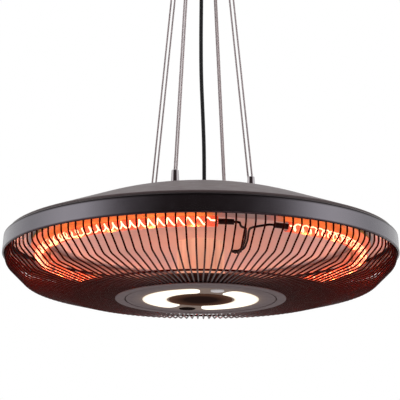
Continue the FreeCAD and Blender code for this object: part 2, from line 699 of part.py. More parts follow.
def make_reflector_plate():
    plate = cylinder(REFLECTOR_RADIUS, REFLECTOR_UNDERSIDE, REFLECTOR_TOP)
    plate = plate.cut(cylinder(COLUMN_RADIUS + SLIP, REFLECTOR_UNDERSIDE, REFLECTOR_TOP))
    grommet_hole = cylinder(GROMMET_NECK_RADIUS + SLIP, REFLECTOR_UNDERSIDE, REFLECTOR_TOP, *GROMMET_PLACE)
    plate = plate.cut(grommet_hole)
    for angle in rim_screw_angles():
        plate = plate.cut(post(RIM_SCREW / 2 + SLIP, REFLECTOR_UNDERSIDE, REFLECTOR_TOP,
                               RIM_SCREW_CIRCLE, angle))
    save("reflector_plate", plate)


def make_tube_trough():
    """Bent sheet segments that make a channel over the heating tube, fixed under the reflector."""
    outer = [
        (TUBE_CIRCLE - TROUGH_INNER_MOUTH, TROUGH_MOUTH_HEIGHT),
        (TUBE_CIRCLE - TROUGH_INNER_TOP, REFLECTOR_UNDERSIDE, TROUGH_ROUND),
        (TUBE_CIRCLE + TROUGH_OUTER_TOP, REFLECTOR_UNDERSIDE, TROUGH_ROUND),
        (TUBE_CIRCLE + TROUGH_OUTER_MOUTH, TROUGH_MOUTH_HEIGHT),
    ]
    inner = inner_side(outer, TROUGH_SHEET)
    for corner in inner[1:-1]:
        corner[2] = TROUGH_ROUND - TROUGH_SHEET
    sweep = 360.0 / TROUGH_SEGMENT_COUNT
    starts = even_angles(TROUGH_SEGMENT_COUNT)
    save_group("tube_trough", [revolved(outer + inner[::-1], sweep, start) for start in starts])


def make_quartz_tube():
    tube = ring_piece(TUBE_DIAMETER / 2, TUBE_CIRCLE, TUBE_HEIGHT, TUBE_ENDS)
    bore = ring_piece(TUBE_DIAMETER / 2 - TUBE_WALL, TUBE_CIRCLE, TUBE_HEIGHT, TUBE_ENDS)
    save("quartz_tube", tube.cut(bore))


def plug_ends():
    first = (TUBE_ENDS[0], TUBE_ENDS[0] + PLUG_LENGTH_ANGLE)
    last = (TUBE_ENDS[1] - PLUG_LENGTH_ANGLE, TUBE_ENDS[1])
    return first, last


def make_tube_plugs():
    """Discs that close the tube, each with a bore for its sleeve."""
    radius = TUBE_DIAMETER / 2 - TUBE_WALL - SEAT
    plugs = []
    for ends in plug_ends():
        plug = ring_piece(radius, TUBE_CIRCLE, TUBE_HEIGHT, ends)
        bore = ring_piece(SLEEVE_DIAMETER / 2 + SEAT, TUBE_CIRCLE, TUBE_HEIGHT, ends)
        plugs.append(plug.cut(bore))
    save_group("tube_plugs", plugs)


def make_tube_sleeves():
    """Black sleeves, from the inner face of each plug out to where a lead starts."""
    first, last = plug_ends()
    spans = ((SLEEVE_OUTER_ENDS[0], first[1]), (last[0], SLEEVE_OUTER_ENDS[1]))
    sleeves = [ring_piece(SLEEVE_DIAMETER / 2, TUBE_CIRCLE, TUBE_HEIGHT, ends) for ends in spans]
    save_group("tube_sleeves", sleeves)


def spiral_point(angle, curl_angle):
    """A point on the spiral, and the way that the strand runs there."""
    turn = math.radians(angle)
    out = Vector(math.sin(turn), -math.cos(turn), 0)
    along = Vector(math.cos(turn), math.sin(turn), 0)
    radius = SPIRAL_DIAMETER / 2
    side = out * math.cos(curl_angle) - AXIS * math.sin(curl_angle)
    place = out * TUBE_CIRCLE + AXIS * TUBE_HEIGHT + side * radius
    spread = math.radians(spiral_span()[1] - spiral_span()[0]) / (2 * math.pi * SPIRAL_CURL_COUNT)
    sideways = AXIS * -math.cos(curl_angle) - out * math.sin(curl_angle)
    forward = along * (spread * (TUBE_CIRCLE + radius * math.cos(curl_angle)))
    return place, (forward + sideways * radius).normalize()


def spiral_span():
    first, last = plug_ends()
    return first[1] + SPIRAL_LEAD_ANGLE, last[0] - SPIRAL_LEAD_ANGLE


def biarc(start, start_way, end, end_way):
    """Two tangent arcs from one point and direction to another."""
    chord = end - start
    ways = start_way + end_way
    spare = 2 * (1 - start_way.dot(end_way))
    along = chord.dot(ways)
    reach = (math.sqrt(along**2 + spare * chord.dot(chord)) - along) / spare
    joint = (start + end + (start_way - end_way) * reach) * 0.5
    back = three_point_arc(end, end_way * -1, joint)
    middle = back.valueAt((back.FirstParameter + back.LastParameter) / 2)
    return [three_point_arc(start, start_way, joint), Part.Arc(joint, middle, end).toShape()]


def spiral_edges():
    """The strand of the spiral: straight out of one plug, round all its curls, straight into the other."""
    first_plug, last_plug = plug_ends()
    span = spiral_span()
    quarter = math.pi / 2
    steps = 4 * SPIRAL_CURL_COUNT
    stations = [spiral_point(span[0] + (span[1] - span[0]) * step / steps, step * quarter)
                for step in range(steps + 1)]
    lead_radius = TUBE_CIRCLE + SPIRAL_DIAMETER / 2
    straight = STRAND_DIAMETER
    start = polar(lead_radius, first_plug[1], TUBE_HEIGHT)
    start_way = polar(1, first_plug[1] + 90, 0)
    finish = polar(lead_radius, last_plug[0], TUBE_HEIGHT)
    finish_way = polar(1, last_plug[0] + 90, 0)
    edges = [Part.LineSegment(start, start + start_way * straight).toShape()]
    edges += biarc(start + start_way * straight, start_way, *stations[0])
    for before, after in zip(stations, stations[1:]):
        edges += biarc(*before, *after)
    edges += biarc(*stations[-1], finish - finish_way * straight, finish_way)
    edges.append(Part.LineSegment(finish - finish_way * straight, finish).toShape())
    return edges


def print_spiral_gap(edges):
    """Measures the least gap between one curl and the next on points along the strand."""
    points = []
    for edge in edges:
        points += edge.discretize(6)[:-1]
    per_curl = len(points) / SPIRAL_CURL_COUNT
    least = min(
        points[index].distanceToPoint(points[other])
        for index in range(len(points))
        for other in range(index + int(0.6 * per_curl), min(index + int(1.6 * per_curl), len(points)))
    )
    print("spiral gap", round(least - STRAND_DIAMETER, 2), "curls", SPIRAL_CURL_COUNT)


def make_carbon_spiral():
    edges = spiral_edges()
    print_spiral_gap(edges)
    spiral = tube_along(edges, STRAND_DIAMETER)
    length = sum(edge.Length for edge in edges)
    share = spiral.Volume / (math.pi * STRAND_DIAMETER**2 / 4 * length)
    print("spiral length", round(length, 1), "volume share", round(share, 4), "valid", spiral.isValid())
    save("carbon_spiral", spiral)


def make_tube_clips():
    """Spring clips: an open ring round the tube on a stem from the trough's roof."""
    inner = TUBE_DIAMETER / 2 + SLIP
    outer = inner + CLIP_THICK
    start = Vector(TUBE_CIRCLE, -CLIP_WIDTH / 2, TUBE_HEIGHT)
    across = Vector(0, 1, 0)
    clip = Part.makeCylinder(outer, CLIP_WIDTH, start, across)
    stem_low = TUBE_HEIGHT + inner
    stem_corner = Vector(TUBE_CIRCLE - CLIP_THICK / 2, -CLIP_WIDTH / 2, stem_low)
    clip = clip.fuse(Part.makeBox(CLIP_THICK, CLIP_WIDTH, TROUGH_ROOF - stem_low, stem_corner))
    clip = clip.cut(Part.makeCylinder(inner, CLIP_WIDTH, start, across))
    mouth = math.radians(CLIP_OPENING / 2)
    below = Vector(0, 0, -2 * outer)
    corners = [
        start,
        start + below + Vector(2 * outer * math.tan(mouth), 0, 0),
        start + below - Vector(2 * outer * math.tan(mouth), 0, 0),
        start,
    ]
    clip = clip.cut(Part.Face(Part.makePolygon(corners)).extrude(across * CLIP_WIDTH))
    save_group("tube_clips", around(clip, CLIP_ANGLES))


def make_lead_grommet():
    neck_top = REFLECTOR_TOP
    grommet = revolved([
        (GROMMET_BORE_RADIUS, REFLECTOR_UNDERSIDE - GROMMET_FLANGE_THICK),
        (GROMMET_FLANGE_RADIUS, REFLECTOR_UNDERSIDE - GROMMET_FLANGE_THICK, EDGE_ROUND),
        (GROMMET_FLANGE_RADIUS, REFLECTOR_UNDERSIDE),
        (GROMMET_NECK_RADIUS, REFLECTOR_UNDERSIDE),
        (GROMMET_NECK_RADIUS, neck_top),
        (GROMMET_FLANGE_RADIUS, neck_top),
        (GROMMET_FLANGE_RADIUS, neck_top + GROMMET_FLANGE_THICK, EDGE_ROUND),
        (GROMMET_BORE_RADIUS, neck_top + GROMMET_FLANGE_THICK),
    ])
    grommet.translate(Vector(GROMMET_PLACE[0], GROMMET_PLACE[1], 0))
    save("lead_grommet", grommet)


def make_tube_leads():
    """Two insulated leads from the sleeves, side by side under the reflector and up through the grommet."""
    flange_low = REFLECTOR_UNDERSIDE - GROMMET_FLANGE_THICK
    low = flange_low - LEAD_DIAMETER
    above = REFLECTOR_TOP + 3 * GROMMET_FLANGE_THICK
    y = GROMMET_PLACE[1]
    leads = []
    apart = (LEAD_DIAMETER + LEAD_GAP) / 2
    for side, angle in ((-1, SLEEVE_OUTER_ENDS[1]), (1, SLEEVE_OUTER_ENDS[0])):
        start = polar(TUBE_CIRCLE, angle, TUBE_HEIGHT)
        x = GROMMET_PLACE[0] + side * apart
        points = [start, start + polar(1, angle + 90, 0) * (-side * LEAD_STRAIGHT)]
        points += [Vector(place[0] + side * (apart + place[3]), place[1], REFLECTOR_UNDERSIDE - place[2])
                   for place in LEAD_ROUTE]
        points += [
            Vector(x, y - 5 * LEAD_DIAMETER, low),
            Vector(x, y - LEAD_DIAMETER, low + LEAD_DIAMETER / 3),
            Vector(x, y, flange_low),
            Vector(x, y, above),
        ]
        leads.append(cord_along("lead", points, LEAD_DIAMETER))
    save_group("tube_leads", leads)


def wire_corners():
    corners = (
        (WIRE_CIRCLE, WIRE_TOP_HEIGHT),
        (WIRE_CIRCLE, WIRE_SHOULDER_HEIGHT),
        (WIRE_CIRCLE - WIRE_ELBOW_INSET, WIRE_ELBOW_HEIGHT),
        WIRE_MIDDLE,
        (WIRE_INNER_RADIUS, WIRE_INNER_HEIGHT),
    )
    return [Vector(radius, 0, height) for radius, height in corners]


def make_guard_wires():
    """Radial wires, bent at the shoulder, the elbow and the middle ring."""
    points = wire_corners()
    wire = tube_along(rounded_edges(points, WIRE_BENDS, False), WIRE_DIAMETER)
    save_group("guard_wires", around(wire, even_angles(WIRE_COUNT, 180.0 / WIRE_COUNT)))


def make_guard_rings():
    """Ring wires that the radial wires are welded to, both on the guard's inner side."""
    gap = (WIRE_DIAMETER + RING_DIAMETER) / 2 + SEAT
    save("guard_rim_ring", full_ring(RING_DIAMETER / 2, WIRE_CIRCLE - gap, RIM_RING_HEIGHT))
    wire_height = WIRE_INNER_HEIGHT + WIRE_RISE * (MIDDLE_RING_RADIUS - WIRE_INNER_RADIUS)
    ring_height = wire_height + gap * math.hypot(1, WIRE_RISE)
    save("guard_middle_ring", full_ring(RING_DIAMETER / 2, MIDDLE_RING_RADIUS, ring_height))


def make_guard_clips():
    """Bent strips that hang the guard's rim ring from the reflector."""
    gap = (WIRE_DIAMETER + RING_DIAMETER) / 2 + SEAT
    face = WIRE_CIRCLE - gap - RING_DIAMETER / 2 - SLIP
    shelf_top = RIM_RING_HEIGHT - RING_DIAMETER / 2 - SLIP
    shelf_end = WIRE_CIRCLE - gap + SLIP
    foot_end = face - GUARD_CLIP_FOOT
    outline = [
        (foot_end, REFLECTOR_UNDERSIDE),
        (face, REFLECTOR_UNDERSIDE),
        (face, shelf_top),
        (shelf_end, shelf_top),
        (shelf_end, shelf_top - SHEET),
        (face - SHEET, shelf_top - SHEET),
        (face - SHEET, REFLECTOR_UNDERSIDE - SHEET),
        (foot_end, REFLECTOR_UNDERSIDE - SHEET),
    ]
    points = [Vector(radius, -GUARD_CLIP_WIDTH / 2, height) for radius, height in outline]
    clip = Part.Face(Part.makePolygon(points + points[:1])).extrude(Vector(0, GUARD_CLIP_WIDTH, 0))
    save_group("guard_clips", around(clip, even_angles(GUARD_CLIP_COUNT)))


def make_hub_column():
    """The tube that hangs the lamp hub, with a flange ring pressed on each end.

    The tube passes through the reflector, and the upper ring lies on it.
    """
    top = REFLECTOR_TOP + COLUMN_FLANGE_THICK
    tube = cylinder(COLUMN_RADIUS, HOUSING_ROOF_HEIGHT, top)
    tube = tube.cut(cylinder(COLUMN_RADIUS - COLUMN_WALL, HOUSING_ROOF_HEIGHT, top))
    rings = []
    for low in (HOUSING_ROOF_HEIGHT, REFLECTOR_TOP):
        high = low + COLUMN_FLANGE_THICK
        ring = cylinder(COLUMN_FLANGE_RADIUS, low, high)
        rings.append(ring.cut(cylinder(COLUMN_RADIUS + SEAT, low, high)))
    save_group("hub_column", [tube, *rings])


def face_post_angles():
    return even_angles(4, FACE_POST_ANGLE)


def board_post_angles():
    return even_angles(4, DIFFUSER_GAP_ANGLE + 45)


def make_led_housing():
    """The black drum behind the lamp, with posts for the lamp board and holes for the face's screws."""
    drum = revolved([
        (HOUSING_HOLE_RADIUS, HOUSING_ROOF_HEIGHT),
        (HOUSING_RADIUS, HOUSING_ROOF_HEIGHT, HOUSING_ROUND),
        (HOUSING_RADIUS, HOUSING_FLANGE_UNDERSIDE + HOUSING_WALL),
        (HOUSING_FLANGE_RADIUS, HOUSING_FLANGE_UNDERSIDE + HOUSING_WALL),
        (HOUSING_FLANGE_RADIUS, HOUSING_FLANGE_UNDERSIDE),
        (HOUSING_RADIUS - HOUSING_WALL, HOUSING_FLANGE_UNDERSIDE),
        (HOUSING_RADIUS - HOUSING_WALL, HOUSING_ROOF_UNDERSIDE, HOUSING_ROUND - HOUSING_WALL),
        (HOUSING_HOLE_RADIUS, HOUSING_ROOF_UNDERSIDE),
    ])
    board_top = BOARD_HEIGHT + BOARD_THICK
    for angle in board_post_angles():
        pillar = post(BOARD_POST_RADIUS, board_top, HOUSING_ROOF_UNDERSIDE, BOARD_POST_CIRCLE, angle)
        drum = drum.fuse(pillar)
    for angle in face_post_angles():
        drum = drum.cut(post(FACE_SCREW / 2 + SLIP, HOUSING_ROOF_UNDERSIDE, HOUSING_ROOF_HEIGHT,
                             FACE_POST_CIRCLE, angle))
    save("led_housing", drum.removeSplitter())


def make_hub_bezel():
    """The ring under the guard's inner ends, with a skirt that fits inside the drum."""
    skirt_out = HOUSING_RADIUS - HOUSING_WALL - SLIP
    top = HUB_FACE_HEIGHT + BEZEL_THICK
    bezel = revolved([
        (BEZEL_BORE_RADIUS, HUB_FACE_HEIGHT),
        (BEZEL_RADIUS, HUB_FACE_HEIGHT, EDGE_ROUND),
        (BEZEL_RADIUS, top),
        (skirt_out, top),
        (skirt_out, top + BEZEL_SKIRT_HEIGHT),
        (skirt_out - BEZEL_SKIRT_THICK, top + BEZEL_SKIRT_HEIGHT),
        (skirt_out - BEZEL_SKIRT_THICK, top),
        (BEZEL_BORE_RADIUS, top),
    ])
    save("hub_bezel", bezel)


def sector(inner, outer, low, high, ends):
    """A curved block between two radii, two heights and two angles."""
    return revolved([(inner, low), (outer, low), (outer, high), (inner, high)], ends[1] - ends[0], ends[0])


def diffuser_spans():
    half = DIFFUSER_GAP / 2
    right = (DIFFUSER_GAP_ANGLE + half, DIFFUSER_GAP_ANGLE + 180 - half)
    return {"right": right, "left": (right[0] + 180, right[1] + 180)}


def rounded_sector(inner, outer, low, high, ends):
    """A curved block with its four corners rounded."""
    block = sector(inner, outer, low, high, ends)
    upright = [edge for edge in block.Edges if edge.BoundBox.ZLength > (high - low) / 2]
    corner = min(DIFFUSER_CORNER, CORNER_SHARE * (outer - inner))
    return block.makeFillet(corner, upright)


def make_hub_face():
    """The face plate, with its windows and four posts that the screws hold from the drum's roof."""
    plate = cylinder(FACE_RADIUS, FACE_UNDERSIDE, FACE_TOP)
    plate = plate.cut(cylinder(CAP_FACE_RADIUS + INSET, FACE_UNDERSIDE, FACE_TOP))
    for ends in diffuser_spans().values():
        window = rounded_sector(DIFFUSER_INNER_RADIUS, DIFFUSER_OUTER_RADIUS, FACE_UNDERSIDE, FACE_TOP, ends)
        plate = plate.cut(window)
    plate = plate.cut(post(BUTTON_RADIUS + SLIDE, FACE_UNDERSIDE, FACE_TOP, BUTTON_CIRCLE, BUTTON_ANGLE))
    plate = plate.cut(post(LENS_RADIUS, FACE_UNDERSIDE, FACE_TOP, LENS_CIRCLE, LENS_ANGLE))
    bore_low = HOUSING_ROOF_UNDERSIDE - FACE_SCREW_DEPTH
    for angle in face_post_angles():
        pillar = post(FACE_POST_RADIUS, FACE_TOP, HOUSING_ROOF_UNDERSIDE, FACE_POST_CIRCLE, angle)
        bore = post(FACE_SCREW / 2 + SEAT, bore_low, HOUSING_ROOF_UNDERSIDE, FACE_POST_CIRCLE, angle)
        plate = plate.fuse(pillar.cut(bore))
    save("hub_face", plate)


def make_face_screws():
    tip = HOUSING_ROOF_UNDERSIDE - FACE_SCREW_DEPTH + SLIP
    head_top = HOUSING_ROOF_HEIGHT + FACE_SCREW_HEAD_HEIGHT
    screws = []
    for angle in face_post_angles():
        head = post(FACE_SCREW_HEAD / 2, HOUSING_ROOF_HEIGHT, head_top, FACE_POST_CIRCLE, angle)
        shank = post(FACE_SCREW / 2, tip, HOUSING_ROOF_HEIGHT, FACE_POST_CIRCLE, angle)
        screws.append(head.fuse(shank))
    save_group("face_screws", screws)


def make_diffusers():
    """Two C-shaped opal plates. Each fills a window of the face plate and rests on its edge inside."""
    for side, ends in diffuser_spans().items():
        trim = math.degrees(INSET / DIFFUSER_INNER_RADIUS)
        lip = math.degrees(DIFFUSER_LIP / DIFFUSER_INNER_RADIUS)
        front = rounded_sector(DIFFUSER_INNER_RADIUS + INSET, DIFFUSER_OUTER_RADIUS - INSET,
                               FACE_UNDERSIDE - DIFFUSER_PROUD, FACE_TOP, (ends[0] + trim, ends[1] - trim))
        back = sector(DIFFUSER_INNER_RADIUS - DIFFUSER_LIP, DIFFUSER_OUTER_RADIUS + DIFFUSER_LIP,
                      FACE_TOP, FACE_TOP + DIFFUSER_LIP, (ends[0] - lip, ends[1] + lip))
        save("led_diffuser_" + side, front.fuse(back))


def make_centre_cap():
    """A shallow dished cap that snaps into the middle of the face plate."""
    low = FACE_UNDERSIDE - CAP_PROUD
    cap = revolved([
        (0, low + CAP_DISH_DEPTH),
        (CAP_DISH_RADIUS, low + CAP_DISH_DEPTH, CAP_DISH_ROUND),
        (CAP_FACE_RADIUS, low, CAP_EDGE_ROUND),
        (CAP_FACE_RADIUS, FACE_TOP),
        (CAP_FACE_RADIUS + CAP_LIP, FACE_TOP),
        (CAP_FACE_RADIUS + CAP_LIP, FACE_TOP + CAP_LIP / 2),
        (0, FACE_TOP + CAP_LIP / 2),
    ])
    save("centre_cap", cap)


def make_lamp_board():
    top = BOARD_HEIGHT + BOARD_THICK
    board = cylinder(BOARD_OUTER_RADIUS, BOARD_HEIGHT, top)
    board = board.cut(cylinder(BOARD_INNER_RADIUS, BOARD_HEIGHT, top))
    save("led_board", board)
    chip = box((CHIP_SIZE, CHIP_SIZE, CHIP_HEIGHT), CHIP_CIRCLE, 0, BOARD_HEIGHT - CHIP_HEIGHT)
    chips = []
    for start, end in diffuser_spans().values():
        step = (end - start) / CHIP_COUNT
        chips += around(chip, [start + step * (index + 0.5) for index in range(CHIP_COUNT)])
    save_group("led_chips", chips)


def make_push_button():
    """A round button in the face plate, with a flange inside and a stem towards its switch."""
    low = FACE_UNDERSIDE - BUTTON_PROUD
    flange_low = FACE_TOP + SLIP
    flange_top = flange_low + BUTTON_FLANGE
    stem_top = BOARD_HEIGHT - SWITCH_HEIGHT - BUTTON_TRAVEL - SLIP
    button = revolved([
        (0, low),
        (BUTTON_RADIUS, low, BUTTON_ROUND),
        (BUTTON_RADIUS, flange_low),
        (BUTTON_RADIUS + BUTTON_FLANGE, flange_low),
        (BUTTON_RADIUS + BUTTON_FLANGE, flange_top),
        (STEM_RADIUS, flange_top),
        (STEM_RADIUS, stem_top),
        (0, stem_top),
    ])
    button.translate(polar(BUTTON_CIRCLE, BUTTON_ANGLE, 0))
    save("push_button", button)
    switch = box((SWITCH_SIZE, SWITCH_SIZE, SWITCH_HEIGHT), BUTTON_CIRCLE, 0, BOARD_HEIGHT - SWITCH_HEIGHT)
    save("button_switch", turned(switch, BUTTON_ANGLE))


def make_receiver():
    lens = revolved([
        (0, FACE_UNDERSIDE - LENS_PROUD),
        (LENS_RADIUS - INSET, FACE_UNDERSIDE - LENS_PROUD, LENS_ROUND),
        (LENS_RADIUS - INSET, FACE_TOP),
        (LENS_RADIUS + DIFFUSER_LIP, FACE_TOP),
        (LENS_RADIUS + DIFFUSER_LIP, FACE_TOP + LENS_LIP_THICK),
        (0, FACE_TOP + LENS_LIP_THICK),
    ])
    lens.translate(polar(LENS_CIRCLE, LENS_ANGLE, 0))
    save("receiver_lens", lens)
    sensor = box(SENSOR_SIZE, LENS_CIRCLE, 0, BOARD_HEIGHT - SENSOR_SIZE[2])
    save("receiver_sensor", turned(sensor, LENS_ANGLE))


def main():
    os.makedirs("parts", exist_ok=True)
    make_ceiling_bracket()
    make_canopy_cover()
    make_canopy_terminal_block()
    make_rope_anchors()
    make_ropes()
    make_glands()
    make_power_cord()
    make_dome_shell()
    make_rim_band()
    make_rim_screws()
    make_top_lid()
    make_rope_grippers()
    make_gripper_nuts()
    make_carrier_plate()
    make_frame_standoffs()
    make_control_pieces()
    make_reflector_plate()
    make_tube_trough()
    make_quartz_tube()
    make_tube_plugs()
    make_tube_sleeves()
    make_carbon_spiral()
    make_tube_clips()
    make_lead_grommet()
    make_tube_leads()
    make_guard_wires()
    make_guard_rings()
    make_guard_clips()
    make_hub_column()
    make_led_housing()
    make_hub_bezel()
    make_hub_face()
    make_face_screws()
    make_diffusers()
    make_centre_cap()
    make_lamp_board()
    make_push_button()
    make_receiver()


main()
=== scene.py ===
import math

import bpy
import numpy as np
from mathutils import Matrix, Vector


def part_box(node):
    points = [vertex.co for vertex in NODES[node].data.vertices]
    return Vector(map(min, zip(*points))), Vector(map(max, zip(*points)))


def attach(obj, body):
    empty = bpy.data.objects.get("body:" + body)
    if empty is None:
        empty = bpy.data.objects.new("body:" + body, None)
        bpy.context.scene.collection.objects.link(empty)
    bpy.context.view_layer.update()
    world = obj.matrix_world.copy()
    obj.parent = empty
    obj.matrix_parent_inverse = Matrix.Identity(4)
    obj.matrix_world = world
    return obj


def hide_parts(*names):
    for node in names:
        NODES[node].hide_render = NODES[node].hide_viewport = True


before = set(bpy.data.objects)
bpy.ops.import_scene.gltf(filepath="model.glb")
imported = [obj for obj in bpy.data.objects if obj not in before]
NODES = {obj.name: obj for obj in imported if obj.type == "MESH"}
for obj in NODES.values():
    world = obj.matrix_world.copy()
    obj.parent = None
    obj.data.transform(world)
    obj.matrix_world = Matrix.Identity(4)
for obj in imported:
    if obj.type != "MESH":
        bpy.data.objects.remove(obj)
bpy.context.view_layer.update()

# A patio heater that hangs from the ceiling on four doubled wire ropes.
# Metres, in the frame of the solids: the ceiling face is height 0 and the front is -Y.
MM = 0.001
RIM_PLANE = -500 * MM  # the rim's lower edge
WHITE = (1.0, 1.0, 1.0)
BLACK = (0.0, 0.0, 0.0)

# Camera, as the photo was taken
CAMERA_PLACE = (0.0, -2.103, RIM_PLANE - 446.1 * MM)
CAMERA_PITCH = 14.385  # degrees above the horizon
CAMERA_ROLL = -0.15  # degrees
CAMERA_LENS = 127.1  # millimetres on a sensor 36 mm wide

# Studio
FLOOR_HEIGHT = -4.6
FLOOR_HALF = 14.0
FLOOR_GREY = (0.74, 0.74, 0.74)
FLOOR_PALENESS = 0.4  # added where the camera sees the floor, so that it is nearly white
ROOM_LIGHT = (  # from straight behind the heater, at 0, to straight in front of it, at 1
    (0.08, (0.80, 0.80, 0.80)),
    (0.32, (0.62, 0.61, 0.63)),
    (0.56, (1.0, 0.97, 1.0)),
    (0.66, (0.95, 0.92, 0.96)),
    (0.82, (0.20, 0.18, 0.19)),
    (0.93, (0.035, 0.025, 0.025)),
)

# Rim and guard
RIM_TOP = RIM_PLANE + 27.5 * MM
SEAM_HEIGHT = 2.2 * MM  # of the painted shade in the seam above the rim
METALLIC_GREY = (0.26, 0.25, 0.27)
HEM_BROWN = (0.07, 0.045, 0.05)
GUARD_GLOSS_HEIGHTS = (RIM_PLANE - 45 * MM, RIM_PLANE - 25 * MM)
GUARD_GLOSS = (0.22, 0.05)  # at and below the first height, and at and above the second
# Painted reflection: a red tint on the wires' gloss that stands for the tube's glow
GUARD_GLOW_REFLECTION_TINT = (1.0, 0.25, 0.15)

# Wire ropes, each drawn in an upright plane as (radius, height)
ROPE_NAMES = ("front_left", "front_right", "rear_right", "rear_left")
ROPE_FIRST_ANGLE = -27.0  # degrees from the front
ROPE_DIAMETER = 3 * MM
ROPE_PIN = (48.5 * MM, -41 * MM)
ROPE_FOOT = (83.6 * MM, RIM_PLANE + 119.5 * MM)
ROPE_END_DEPTH = 8 * MM  # of both ends past the foot
ROPE_TURN = 3.3 * MM  # from the pin's middle to the rope's middle
# Control points round the pin as (across the legs, up the legs), in lengths of ROPE_TURN
ROPE_ROUND_PIN = ((1, -4), (1, -0.4), (1, 0.4), (0.4, 1), (-0.4, 1), (-1, 0.4), (-1, -0.4), (-1, -4))
ROPE_STRANDS = 6  # round one in the middle
ROPE_LAY = 11 * MM  # length of one turn of a strand
ROPE_LAY_STEPS = 9  # points in one turn
ROPE_SIDES = 6  # of a strand's section

# Power cord: its route is in millimetres, with heights above the rim's lower edge
CORD_DIAMETER = 6 * MM
CORD_ROUTE = (
    (5.0, 0.0, 111.6),
    (5.0, 0.0, 168.0),
    (2.6, 0.8, 232.0),
    (-0.2, -0.5, 296.0),
    (-0.6, 0.3, 366.0),
    (0.0, 0.0, 428.0),
    (0.0, 0.0, 474.0),
)

# Hub
HUB_BROWN = (116, 98, 97)  # a screen colour, 0 to 255
DIFFUSER_RADII = (51 * MM, 88 * MM)
CAP_RADIUS = 47.5 * MM
HALO_WIDTH = 16 * MM  # of the light on the hub's face round the diffusers

# Glowing spiral in the ring tube
TUBE_CIRCLE = 245 * MM
TUBE_HEIGHT = RIM_PLANE + 1 * MM
SPIRAL_ENDS = (29.0, 365.0)  # degrees from the front, at the plugs
SPIRAL_LEAD = 1.9  # degrees from each plug to the curls
SPIRAL_CURLS = 105
SPIRAL_STEPS = 14  # points in one curl
SPIRAL_RADIUS = 5.1 * MM
SPIRAL_LEAN = 1.5 * MM  # the top of each curl stands this much aside of its middle
SPIRAL_SWELL = 0.03  # share by which the curls slowly grow and shrink
SPIRAL_SWELL_RATE = 0.37 / 6  # such changes in each curl
CARBON_RADIUS = 1.05 * MM
CARBON_SIDES = 7

# Channel over the tube: steps from the tube's middle line, and heights
TROUGH_INNER_MOUTH = (-17.5 * MM, RIM_PLANE + 11.5 * MM)
TROUGH_INNER_TOP = -12.5 * MM
TROUGH_OUTER_TOP = 11 * MM
TROUGH_OUTER_MOUTH = (12 * MM, RIM_PLANE + 17 * MM)
TROUGH_ROUND = 6 * MM
TROUGH_ROUND_STEPS = 5
TROUGH_SHEET = 0.8 * MM
TROUGH_STEPS = 180
GAP_MIDDLE = (68 * MM, -222 * MM, RIM_PLANE + 17 * MM)  # on the inner wall, between the tube's ends
GAP_REACH = (40 * MM, 55 * MM)  # from there to where the heat tint and painted glow begin and to where they are full

# Light that stands for the spiral's glow
GLOW_COUNT = 24
GLOW_POWER = 0.17  # watts of each lamp
GLOW_DROP = 10 * MM  # below the tube's middle line
GLOW_COLOUR = (1.0, 0.26, 0.12)
# The glow that the plate mirrors is full up to the first radius and ends at the second
MIRROR_RADII = (70 * MM, 190 * MM)
MIRROR_GLOW = (0.40, 0.13, 0.08)
COLUMN_GLOW = (0.12, 0.12, 0.09)


def srgb(red, green, blue):
    """A screen colour, 0 to 255, as linear light."""
    shares = [channel / 255 for channel in (red, green, blue)]
    return tuple(s / 12.92 if s <= 0.04045 else ((s + 0.055) / 1.055) ** 2.4 for s in shares)


def times(colour, factor):
    """A colour made lighter or darker, with no channel above 1."""
    return tuple(min(factor * channel, 1) for channel in colour)


def round_axis(radius, turn, height):
    """The point at a radius and a height, turned from the front about the middle axis."""
    return radius * np.sin(turn), -radius * np.cos(turn), height


# Node helpers
def add_node(tree, kind, **settings):
    node = tree.nodes.new(kind)
    for name, value in settings.items():
        setattr(node, name, value)
    return node


def parts_of(made):
    """A material's tree and shader."""
    return made.node_tree, made.node_tree.nodes["Principled BSDF"]


def new_material(name, colour, roughness, metallic=0.0):
    """A material with its main values set on the shader. Returns it with its tree and shader."""
    made = bpy.data.materials.new(name)
    made.use_nodes = True
    tree, shader = parts_of(made)
    shader.inputs["Base Color"].default_value = (*colour, 1)
    shader.inputs["Roughness"].default_value = roughness
    shader.inputs["Metallic"].default_value = metallic
    return made, tree, shader


def place(tree):
    """Where a surface point is, in the frame of the solids."""
    return add_node(tree, "ShaderNodeTexCoord").outputs["Object"]


def scaled_place(tree, scale):
    """A surface point's place, with each axis times its own number."""
    node = add_node(tree, "ShaderNodeVectorMath", operation="MULTIPLY")
    node.inputs[1].default_value = scale
    tree.links.new(place(tree), node.inputs[0])
    return node.outputs["Vector"]


def noise(tree, scale, detail=3.0):
    node = add_node(tree, "ShaderNodeTexNoise")
    node.inputs["Scale"].default_value = scale
    node.inputs["Detail"].default_value = detail
    tree.links.new(place(tree), node.inputs["Vector"])
    return node.outputs["Fac"]


def line_noise(tree, value, scale, detail=2.0):
    """Noise that changes only along one value, for turned and brushed marks."""
    node = add_node(tree, "ShaderNodeTexNoise", noise_dimensions="1D")
    node.inputs["Scale"].default_value = scale
    node.inputs["Detail"].default_value = detail
    tree.links.new(value, node.inputs["W"])
    return node.outputs["Fac"]


def axis_distance(tree):
    """The distance from the heater's middle axis."""
    length = add_node(tree, "ShaderNodeVectorMath", operation="LENGTH")
    tree.links.new(scaled_place(tree, (1, 1, 0)), length.inputs[0])
    return length.outputs["Value"]


def outward_share(tree):
    """How a surface faces: 1 straight away from the middle axis, -1 straight towards it."""
    unit = add_node(tree, "ShaderNodeVectorMath", operation="NORMALIZE")
    tree.links.new(scaled_place(tree, (1, 1, 0)), unit.inputs[0])
    product = add_node(tree, "ShaderNodeVectorMath", operation="DOT_PRODUCT")
    tree.links.new(unit.outputs["Vector"], product.inputs[0])
    tree.links.new(add_node(tree, "ShaderNodeTexCoord").outputs["Normal"], product.inputs[1])
    return product.outputs["Value"]


